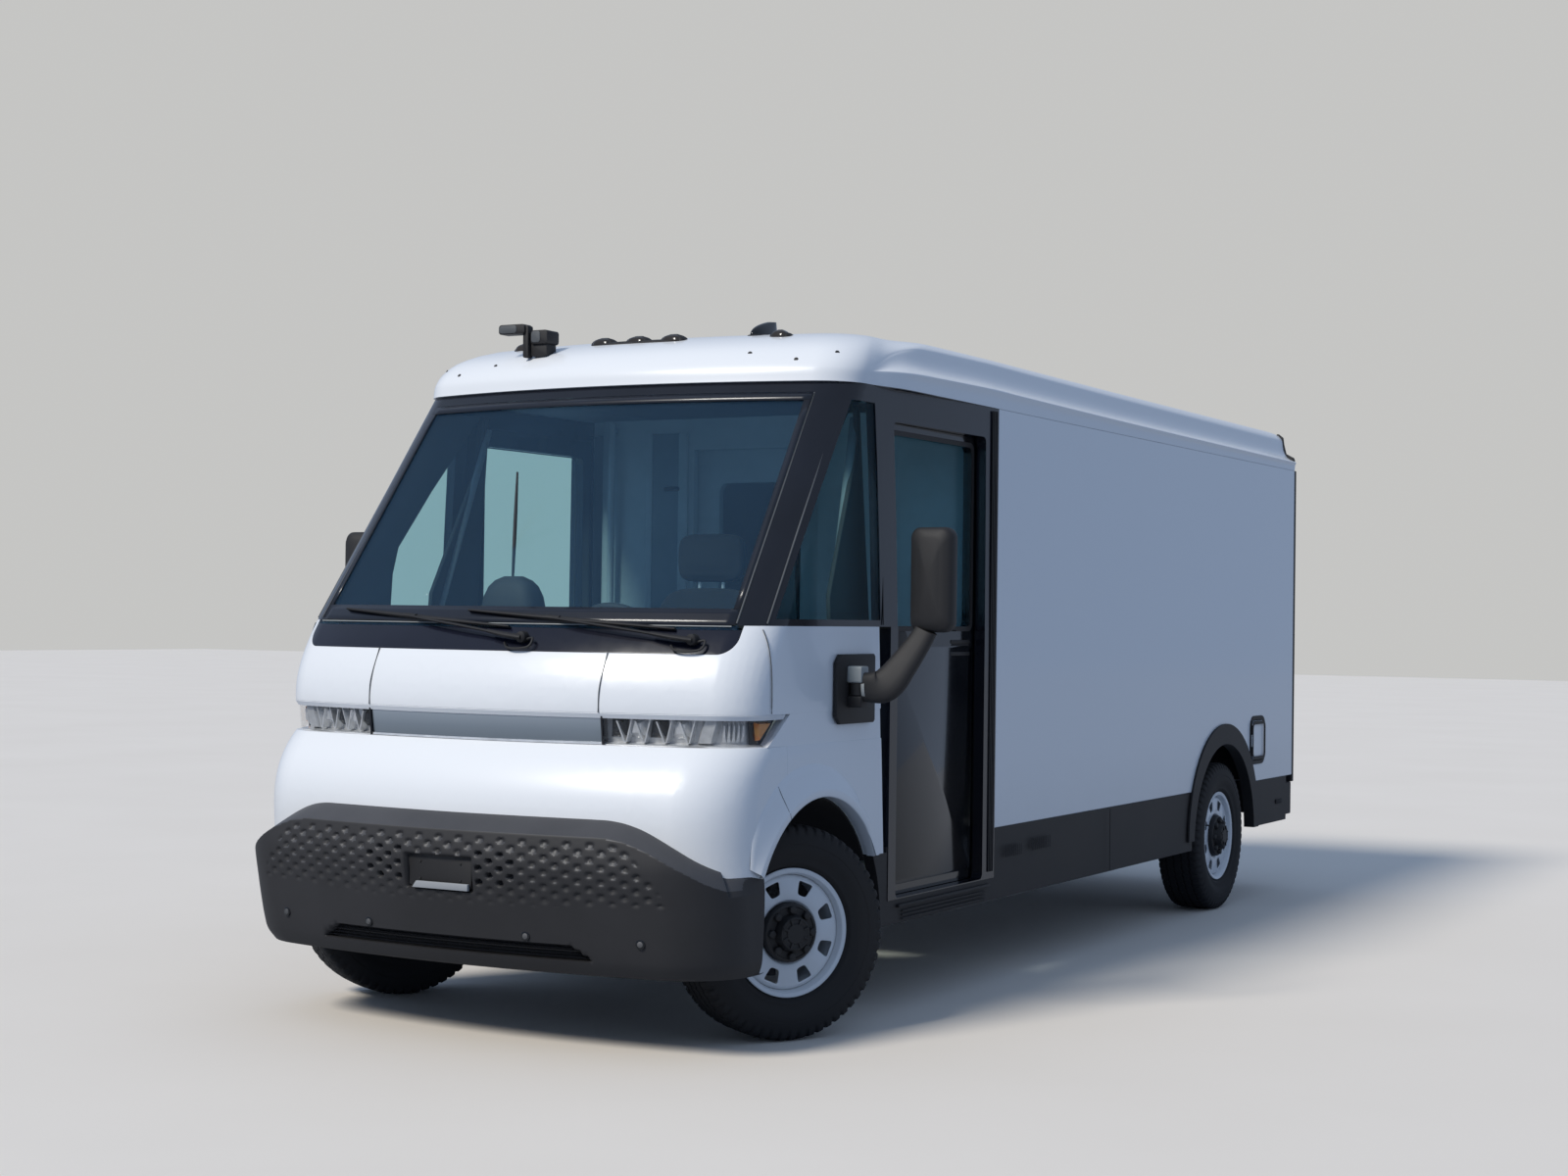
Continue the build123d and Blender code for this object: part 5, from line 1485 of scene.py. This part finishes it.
def make_flares():
    """The soft flare round each front wheel: a sloped band, then a flat lip at the opening."""
    both = []
    for side in (1, -1):
        rows = []
        for k in range(73):
            a = mix(-61.0, 60.0, k / 72)
            outer = curved(FLARE_EDGE, a)[0]
            high = mix(1.0585, 1.0765, 1 - 0.55 * ease(a, 40.0, 58.0))
            section = [(0.5030, 1.0300), (0.5035, high - 0.0060), (0.5050, high - 0.0030),
                       (0.5080, high - 0.0018),
                       (0.5300, high), (0.5350, high - 0.0008), (0.5400, high - 0.0030),
                       (mix(0.540, outer, 0.35), mix(high - 0.003, 1.0560, 0.42)),
                       (mix(0.540, outer, 0.70), mix(high - 0.003, 1.0560, 0.80)),
                       (outer, 1.0562), (outer + 0.004, 1.0520)]
            t = math.radians(a)
            rows.append([Vector((side * x, FRONT_AXLE + r * math.sin(t),
                                 0.385 + r * math.cos(t))) for r, x in section])
        both.append(surface("flare", rows, WHITE, smooth=50.0))
        seam = [at(side * x, r * math.sin(-0.52), 0.385 + r * math.cos(-0.52))
                for r, x in ((0.506, 1.0745), (0.530, 1.0762), (0.540, 1.0732), (0.575, 1.0672),
                             (0.610, 1.0610),
                             (0.645, 1.0562))]
        both.append(pipe("flare_seam", seam, 0.0011, SEAM_GREY, 6))
    join("arch_flares", both, "chassis")


make_flares()


# ---------------------------------------------------------------- seams and trims of the cab
CAB_FACE = 1.0545
SKIRT_FACE = 1.0668
DOORWAY_MIDDLE = 1.09
HOOD_NOSE = [(1.199, -0.697), (1.290, -0.690), (1.410, -0.640), (1.513, -0.573)]
PILLAR_SEAMS = (
    (((0.888, 0.262, 2.445), (0.938, -0.424, 1.520)), 0.0035, SEAM_GREY),
    (((0.9705, 0.328, 2.440), (1.0205, -0.350, 1.520)), 0.0035, SEAM_GREY),
    (((1.0005, 0.560, 2.400), (1.0565, 0.500, 1.520)), 0.0025, BLACK))


def hood_point(x, z, proud):
    nose = curved(HOOD_NOSE[:3], z)[0]
    return at(x, nose + BULGE - math.sqrt(BULGE ** 2 - x * x) - proud, z)


def screen_border():
    """The opaque border of the windshield, on its face, and the pale edge of its lower seal."""
    def half(z):
        return mix(0.941, 0.892, (z - SCREEN_FOOT) / SCREEN_RISE)

    def sheet(name, heights, left, right, steps):
        rows = [[screen_point(mix(left(z), right(z), k / steps), z, 0.0022) for k in range(steps + 1)]
                for z in heights]
        # The border's navy tint is painted sky reflection on the glass.
        piece = surface(name, rows, SCREEN_BLACK_PAINTED_SKY, smooth=60.0)
        thicken(piece, 0.0012, 0.0)
        return apply_all(piece)

    low, high = 1.514, 2.398
    parts = [sheet("screen_foot", [mix(low, 1.572, k / 3) for k in range(4)],
                   lambda z: -half(z) + 0.004, lambda z: half(z) - 0.004, 48),
             sheet("screen_head", [mix(2.366, high, k / 2) for k in range(3)],
                   lambda z: -half(z) + 0.004, lambda z: half(z) - 0.004, 48)]
    heights = [mix(1.572, 2.366, k / 10) for k in range(11)]
    for side in (1, -1):
        parts.append(sheet("screen_side", heights, lambda z: side * (half(z) - 0.030),
                           lambda z: side * (half(z) - 0.004), 2))
    edge = [screen_point(mix(-0.925, 0.925, k / 40), 1.5095, 0.0042) for k in range(41)]
    parts.append(pipe("screen_seal", edge, 0.0024, SLEEVE, 6))
    return parts


def make_cab_trim():
    """Seams, sill and pillar ribs, skirt vents and the windshield's border."""
    parts = []
    for side in (1, -1):
        line = [hood_point(side * 0.512, mix(1.200, 1.412, k / 12), 0.0030) for k in range(13)]
        parts.append(pipe("hood_seam", line, 0.0024, SEAM_GREY, 6, 1.0))
        line = []
        for k in range(13):
            z = mix(1.203, 1.500, k / 12)
            plan = level(curved(HOOD_NOSE, z)[0], CAB_FACE)
            s = next(q / 1000 for q in range(800, 2000) if plan.at(q / 1000)[1] >= FRONT_AXLE - 0.372)
            x, y, _ = plan.at(side * s, 0.0008)
            line.append(Vector((x, y, z)))
        parts.append(pipe("fender_seam", line, 0.0020, SEAM_GREY, 6))
        for (head, foot), radius, material in PILLAR_SEAMS:
            line = []
            for t in range(11):
                x, y, z = (mix(a, b, t / 10) for a, b in zip(head, foot))
                line.append(at(side * x, y, z))
            parts.append(pipe("pillar_seam", line, radius, material, 6))
        places = [flank(side, CAB_FACE, y, 1.455) for y in (1.520, 1.535, 1.550, 1.565)]
        parts.append(repeat("trim_ribs", unit_block(), places, BLACK, 0.007, 0.006, 1.950))
        places = [flank(side, CAB_FACE, DOORWAY_MIDDLE, z) for z in (0.371, 0.386, 0.401)]
        parts.append(repeat("step_ribs", unit_block(), places, BLACK, 0.80, 0.007, 0.006))
        ledge = slab("sill_ledge", round_rect(0.44, 0.006, 0.005, 3), 0.016, BLACK, 0.002,
                     place=flank(side, 1.066, DOORWAY_MIDDLE, 0.424))
        parts.append(ledge)
        for first, count, low, high in ((1.690, 9, 0.528, 0.578), (1.975, 11, 0.534, 0.588)):
            places = [facing(at(side * SKIRT_FACE, first + 0.0205 * k, (low + high) / 2), (side, 0, 0))
                      for k in range(count)]
            parts.append(repeat("vent_slots", unit_block(), places, LINER, 0.0080, 0.0012, high - low))
        parts.append(pipe("skirt_seam", [at(side * 1.0672, 2.925, z) for z in (0.362, 0.5, 0.655)],
                          0.0016, LINER, 6))
    parts += screen_border()
    join("cab_seams", parts, "chassis")


make_cab_trim()


def make_door_dress():
    """Gloss lower panel, window seal, lock cup and pull on each cab door."""
    for word, side in SIDES:
        face = side * 1.000
        out = (side, 0, 0)
        middle = FRONT_AXLE + 1.050
        parts = [slab("door_panel", round_rect(0.405, 0.470, 0.030, 6), 0.004, GLOSS, 0.0015,
                      place=facing((face + side * 0.0022, middle, 0.965), out))]
        outer = round_rect(0.398, 0.396, 0.040, 6)
        inner = round_rect(0.378, 0.376, 0.030, 6)
        parts.append(ring_plate("window_seal", outer, inner, 0.005, BLACK,
                                facing((face - side * 0.0002, middle, 1.8915), out)))
        cup = FRONT_AXLE + 0.775
        parts.append(slab("lock_cup", round_rect(0.052, 0.036, 0.034, 8), 0.006, BLACK, 0.002,
                          place=facing((face + side * 0.0028, cup, 1.462), out)))
        lock = unit_dome(20)
        parts.append(repeat("lock_barrel", lock, [facing((face + side * 0.0015, cup + 0.008, 1.464), out)],
                            CHROME, 0.0095, 0.0015, 0.0095))
        for z in (1.452, 1.402):
            parts.append(slab("pull_edge", round_rect(0.095, 0.008, 0.007, 4), 0.006, BLACK, 0.002,
                              place=facing(at(face + side * 0.0028, 1.335, z), out)))
        parts.append(slab("pull_cup", round_rect(0.088, 0.020, 0.012, 4), 0.004, LINER, 0.001,
                          place=facing(at(face + side * 0.0010, 1.335, 1.427), out)))
        for y, radius, material in ((0.622, 0.0045, BLACK), (1.492, 0.0045, SLEEVE)):
            line = [at(face - side * 0.0020, y, z) for z in (0.475, 1.0, 1.6, 2.325)]
            parts.append(pipe("edge_seal", line, radius, material, 8))
        join(word + "_door_dress", parts, word + "_cab_door")


make_door_dress()


# ---------------------------------------------------------------- roof gear
SMOKED = gloss_black("smoked_lens", (0.022, 0.018, 0.015), 0.12)


def make_roof_gear():
    """Marker lamps, a fin and a short boxed stalk over the brow."""
    y0 = FRONT_AXLE
    parts = [mound("lamp_bed", 0.0, y0 + 0.385, 0.232, 0.046, 2.628, 2.652, BLACK)]
    for x in (-0.165, 0.0, 0.165):
        parts.append(mound("marker_hood", x, y0 + 0.389, 0.058, 0.036, 2.636, 2.671, BLACK, 2.2))
        parts.append(mound("marker_lens", x, y0 + 0.377, 0.044, 0.030, 2.640, 2.669, SMOKED, 2.2))
    for x in (-0.612, 0.612):
        parts.append(mound("marker_bed", x, y0 + 0.470, 0.048, 0.038, 2.640, 2.668, BLACK, 2.4))
        parts.append(mound("marker_lens", x, y0 + 0.458, 0.036, 0.032, 2.644, 2.675, SMOKED, 2.2))
    piece = join("marker_lamps", parts, "chassis")
    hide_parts("roof_lamps")
    rows = []
    for k in range(13):
        t = k / 12
        front, back = mix(0.500, 0.632, t ** 2.2), mix(0.706, 0.700, t)
        wide = mix(0.0245, 0.0080, t ** 1.6)
        row = []
        for q in range(24):
            a = 2 * math.pi * q / 24
            bend = math.copysign(abs(math.cos(a)) ** 0.8, math.cos(a))
            row.append((0.455 + wide * math.sin(a), y0 + (front + back) / 2 + (back - front) / 2 * bend,
                        mix(2.668, 2.740 - 0.006 * (1 - bend) / 2, t)))
        rows.append(row)
    fin = surface("shark_fin", rows, GLOSS, loop=True, ends=True, smooth=60.0)
    foot = mound("fin_foot", 0.455, y0 + 0.605, 0.032, 0.112, 2.656, 2.677, BLACK)
    boxes = []
    for name, x0, x1, ya, yb, z0, z1, material in (
            ("stalk_head", -0.560, -0.432, 0.196, 0.252, 2.682, 2.722, BLACK),
            ("stalk_post", -0.446, -0.420, 0.206, 0.242, 2.585, 2.716, BLACK),
            ("stalk_box", -0.414, -0.332, 0.214, 0.300, 2.640, 2.696, BLACK),
            ("stalk_foot", -0.420, -0.340, 0.224, 0.292, 2.590, 2.645, BLACK),
            ("head_face", -0.556, -0.470, 0.193, 0.200, 2.686, 2.718, SEAM_GREY),
            ("box_face", -0.410, -0.366, 0.211, 0.218, 2.646, 2.692, SEAM_GREY)):
        boxes.append(slab(name, round_rect((x1 - x0) / 2, (z1 - z0) / 2, min(0.012, (x1 - x0) * 0.3), 4),
                          yb - ya,
                          material, 0.003, place=moved((x0 + x1) / 2, ya, (z0 + z1) / 2)))
    piece = join("roof_fittings", [fin, foot] + boxes, "chassis")
    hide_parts("roof_antenna")


make_roof_gear()


# ---------------------------------------------------------------- cab interior
SEAT_X = 0.225


def make_seat():
    """Cushion, back rest and head rest over a pedestal; the covers are stuffed and stitched."""
    lean = Matrix.Rotation(math.atan2(0.150, 0.640), 4, "X")
    upright = Matrix.Rotation(math.pi / 2, 4, "X")
    parts = [
        pillow("seat_base", (0.250, 0.235, 0.062), moved(SEAT_X, 0.240, 0.966), CLOTH, 0.016,
               ((0, 0.58, 0.010), (0, -0.58, 0.010), (1, 0.10, 0.007))),
        pillow("seat_back", (0.235, 0.310, 0.050),
               moved(SEAT_X, 0.522, 1.355) @ lean.inverted() @ upright, CLOTH, 0.014,
               ((0, 0.58, 0.010), (0, -0.58, 0.010), (1, 0.35, 0.007), (1, -0.30, 0.007))),
        pillow("head_rest", (0.150, 0.098, 0.045), moved(SEAT_X, 0.603, 1.782) @ upright,
               CLOTH, 0.010, ((1, -0.55, 0.004),))]
    piece = join("driver_seat_cushions", parts, "chassis")
    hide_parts("driver_seat")
    frame_parts = []
    for x in (-0.055, 0.055):
        frame_parts.append(pipe("rest_rod", [at(SEAT_X + x, 0.600, 1.64),
                                             at(SEAT_X + x, 0.605, 1.72)], 0.007, CHROME, 10))
    frame_parts.append(slab("pedestal", round_rect(0.058, 0.115, 0.012, 3), 0.190, CABIN, 0.006,
                            place=moved(SEAT_X, 0.135, 0.770)))
    frame_parts.append(slab("seat_pan", round_rect(0.235, 0.012, 0.008, 3), 0.430, CABIN, 0.004,
                            place=moved(SEAT_X, 0.020, 0.902)))
    join("driver_seat_frame", frame_parts, "chassis")


make_seat()


def make_steering_wheel():
    """Round rim, three spokes, a pad and four keys, tilted to the column."""
    across, along_axis = 0.8320503, 0.5547002
    place = Matrix(((1, 0, 0, SEAT_X), (0, along_axis, across, FRONT_AXLE - 0.060 + across * 0.030),
                    (0, -across, along_axis, 1.390 + along_axis * 0.030), (0, 0, 0, 1)))
    rows = []
    for k in range(56):
        a = 2 * math.pi * k / 56
        grip = 0.0150 + 0.0016 * max(0.0, math.cos(2 * (a - 0.35))) ** 4
        rows.append([((0.205 + grip * math.cos(b)) * math.cos(a), (0.205 + grip * math.cos(b)) * math.sin(a),
                      grip * 1.1 * math.sin(b)) for b in (2 * math.pi * q / 14 for q in range(14))])
    parts = [surface("rim", rows + [rows[0]], CABIN, loop=True, smooth=60.0)]
    for a in (0.0, math.pi, -math.pi / 2):
        ends = [(0.050, 0.0, 0.006), (0.110, 0.0, 0.002), (0.160, 0.0, -0.001), (0.200, 0.0, 0.0)]
        line = [Matrix.Rotation(a, 4, "Z") @ Vector(p) for p in ends]
        parts.append(pipe("spoke", line, [0.024, 0.019, 0.017, 0.016], CABIN, 12, 0.45))
    parts.append(pillow("horn_pad", (0.072, 0.060, 0.022), Matrix.Translation((0, -0.004, 0.002)), CABIN,
                        0.004,
                        power=3.0, cuts=9))
    keys = [Matrix.Translation((x, y, 0.012)) @ Matrix.Rotation(-math.pi / 2, 4, "X")
            for x in (-0.108, 0.108) for y in (-0.008, 0.008)]
    parts.append(repeat("wheel_keys", unit_dome(10), keys, SLEEVE, 0.006, 0.004, 0.006))
    for part in parts:
        part.data.transform(place)
    piece = join("look_steering_wheel", parts, "steering_wheel")
    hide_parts("steering_wheel")


make_steering_wheel()


def make_dash_dress():
    """Driver's display, a round-topped sensor cover at the screen and a thin upright rod."""
    y0 = FRONT_AXLE
    parts = [slab("display", round_rect(0.150, 0.062, 0.012, 4), 0.014, GLOSS, 0.002,
                  place=moved(SEAT_X, -0.190, 1.440) @ Matrix.Rotation(0.25, 4, "X")),
             slab("display_hood", round_rect(0.170, 0.080, 0.020, 4), 0.040, CABIN, 0.006,
                  place=moved(SEAT_X, -0.236, 1.438) @ Matrix.Rotation(0.25, 4, "X"))]
    parts.append(mound("sensor_cover", -0.076, y0 - 0.352, 0.124, 0.074, 1.495, 1.686, CABIN, 2.8, 36))
    for side in (1, -1):
        front = [(-0.408, 1.520), (0.232, 2.380), (0.520, 2.380), (0.215, 2.046), (0.020, 1.809),
                 (-0.006, 1.700),
                 (-0.006, 1.520)]
        rear = [(0.262, 1.520), (0.262, 1.626), (0.552, 2.218), (0.556, 2.380), (0.585, 2.380),
                (0.585, 1.520)]
        for outline in (front, rear):
            place = Matrix(((0, side, -0.062 * side, side * 1.029), (1, 0, 0, y0), (0, 0, 1, 0),
                            (0, 0, 0, 1)))
            parts.append(slab("pillar_liner", outline, 0.020, CABIN, 0.004, place=place))
        slant = [at(side * mix(0.928, 0.880, k / 4), mix(0.318, 0.578, k / 4), mix(1.56, 2.33, k / 4))
                 for k in range(5)]
        parts.append(pipe("liner_rib", slant, 0.018, LOCKER, 10, 0.6))
    rod = [at(mix(-0.084, -0.068, k / 8), -0.350, mix(1.640, 2.080, k / 8)) for k in range(9)]
    parts.append(pipe("upright_rod", rod, [mix(0.004, 0.0075, math.sin(math.pi * k / 8)) for k in range(9)],
                      CABIN, 10))
    pole = [at(-0.850, 1.500, z) for z in (1.10, 1.6, 2.1, 2.43)]
    parts.append(pipe("grab_pole", pole, 0.016, PANEL, 14))
    for z in (1.12, 2.40):
        parts.append(pipe("pole_foot", [at(-0.850, 1.500, z), at(-0.850, 1.542, z)], 0.013,
                          BEZEL, 12, up_hint=(1, 0, 0)))
    parts.append(slab("locker_front", round_rect(0.110, 0.440, 0.010, 3), 0.012, LOCKER, 0.003,
                      place=moved(-0.570, 1.531, 1.940)))
    # Pale strips on either edge of the grey panel: painted light seen through the bulkhead opening.
    for x, wide in ((-0.664, 0.017), (-0.482, 0.024)):
        parts.append(slab("locker_edge", round_rect(wide, 0.440, 0.008, 3), 0.016, PANEL, 0.003,
                          place=moved(x, 1.527, 1.940)))
    parts.append(slab("locker_slot", round_rect(0.040, 0.010, 0.006, 3), 0.006, HUB_BLACK, 0.001,
                      place=moved(-0.540, 1.523, 2.125)))
    join("dash_dress", parts, "chassis")


make_dash_dress()


# ---------------------------------------------------------------- rear end
def make_rear():
    """Slats and grip of the roll-up door, tail lamps, and the step's treads and slots."""
    back = (0, 1, 0)
    slats = [facing(at(0, 5.917, 0.700 + 0.0985 + 0.1625 * k), back) for k in range(10)]
    parts = [slab("door_web", [(-0.842, 0.702), (-0.842, 2.324), (0.842, 2.324), (0.842, 0.702)], 0.012,
                  BLACK,
                  0.001, place=moved(0, 5.920, 0)),
             repeat("door_slats", unit_block(0.022, 2), slats, WHITE, 1.680, 0.030, 0.157)]
    parts.append(pipe("door_grip", [at(-0.10, 5.944, 0.842), at(-0.085, 5.975, 0.842),
                                    at(0.085, 5.975, 0.842), at(0.10, 5.944, 0.842)],
                      0.008, BLACK, 10))
    parts.append(slab("latch_plate", round_rect(0.050, 0.070, 0.012, 4), 0.006, PLATE, 0.0015,
                      place=moved(0, 5.9455, 0.985)))
    piece = join("roller_door", parts, "chassis")
    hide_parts("rear_door")
    parts = []
    for side in (1, -1):
        x = side * 0.955
        for low, high, material in ((1.152, 1.300, RED), (1.304, 1.392, AMBER), (1.396, 1.498, FROSTED)):
            parts.append(slab("lens", round_rect(0.052, (high - low) / 2, 0.010, 4), 0.010, material, 0.003,
                              place=moved(x, 5.955, (low + high) / 2)))
        parts.append(slab("lamp_rim", round_rect(0.057, 0.176, 0.014, 4), 0.004, BLACK, 0.001,
                          place=moved(x, 5.9525, 1.325)))
        prisms = [facing(at(x, 5.965, 1.160 + 0.012 * k), back) for k in range(28)]
        parts.append(repeat("lens_ribs", unit_block(), prisms, RED, 0.086, 0.0015, 0.003))
    piece = join("tail_lamp_units", parts, "chassis")
    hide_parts("tail_lamps")
    grips = [facing(at(x * 0.080, 5.905, 0.6178), (0, 0, 1), up=(0, 1, 0)) for x in range(-11, 12)]
    treads = repeat("step_treads", unit_block(), grips, BLACK, 0.012, 0.004, 0.110)
    slots = [facing(at(side * (0.70 + 0.022 * k), 5.9915, 0.520), back) for side in (1, -1) for k in range(8)]
    marks = repeat("step_slots", unit_block(), slots, LINER, 0.008, 0.0012, 0.060)
    join("rear_step_dress", [treads, marks], "chassis")


make_rear()


def make_charge_dress():
    """Broad black seal on the charge lid, and the slot and screw of the quarter behind it."""
    low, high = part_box("charge_lid")
    middle = ((low[1] + high[1]) / 2, (low[2] + high[2]) / 2)
    half = ((high[1] - low[1]) / 2, (high[2] - low[2]) / 2)
    seal = ring_plate("lid_seal", round_rect(half[0] - 0.001, half[1] - 0.001, 0.036, 6),
                      round_rect(half[0] - 0.014, half[1] - 0.020, 0.024, 6), 0.0025, BLACK,
                      facing((high[0] - 0.0002, middle[0], middle[1]), (1, 0, 0)))
    join("lid_seal", [seal], "charge_lid")
    parts = []
    for side in (1, -1):
        parts.append(slab("quarter_slot", round_rect(0.062, 0.013, 0.011, 4), 0.003, LINER, 0.0008,
                          place=flank(side, 1.0568, 5.665, 0.520)))
        parts.append(repeat("quarter_screw", unit_dome(12), [flank(side, 1.0550, 5.225, 0.478)],
                            SLEEVE, 0.008, 0.006, 0.008))
    join("quarter_dress", parts, "chassis")


make_charge_dress()


def light_path(nodes_of):
    return [nodes_of.add("LightPath", output=which)
            for which in ("Is Camera Ray", "Is Glossy Ray", "Is Transmission Ray")]


def make_stage():
    """A pale floor, a plain sky and two suns."""
    mesh = bpy.data.meshes.new("floor")
    mesh.from_pydata([(-60, -60, 0), (60, -60, 0), (60, 60, 0), (-60, 60, 0)], [], [(0, 1, 2, 3)])
    f = Finish("floor_paint", Roughness=0.8)
    f.set(Base_Color=f.ramp(f.noise(0.6, 4.0), (0.3, (0.79, 0.725, 0.64)), (0.8, (0.82, 0.755, 0.67))))
    seen, mirror, through = light_path(f)
    dark = f.add("BsdfDiffuse", Color=(0.21, 0.25, 0.31))
    f.show(f.add("MixShader", at={0: (seen + mirror * 0.45 + through).least(1.0), 1: dark, 2: f.coat()}))
    floor = link("floor", mesh, f.material)
    world = bpy.data.worlds.new("sky")
    bpy.context.scene.world = world
    world.use_nodes = True
    world.node_tree.nodes.clear()
    sky = Nodes(world.node_tree)
    seen, mirror, through = light_path(sky)
    shade = sky.add("Background", Color=(0.40, 0.56, 0.86), Strength=0.56)
    bright = sky.add("Background", Color=(0.56, 0.56, 0.55), Strength=1.0)
    share = (seen + mirror * 0.22 + through * 0.5).least(1.0)
    sky.add("OutputWorld", Surface=sky.add("MixShader", at={0: share, 1: shade, 2: bright}))

    def sun(name, strength, angle, aim, colour=(1.0, 1.0, 1.0)):
        light = bpy.data.lights.new(name, "SUN")
        light.energy = strength
        light.color = colour
        light.angle = math.radians(angle)
        thing = bpy.data.objects.new(name, light)
        bpy.context.scene.collection.objects.link(thing)
        thing.rotation_mode = "QUATERNION"
        thing.rotation_quaternion = Vector(aim).to_track_quat("-Z", "Y")
        return thing

    sun("key", 2.8, 16.0, (0.24, 0.86, -0.80), (1.0, 0.965, 0.90))
    sun("fill", 0.05, 60.0, (-0.9, 0.5, -0.5))


make_stage()
scene = bpy.context.scene
scene.view_settings.view_transform = "Standard"
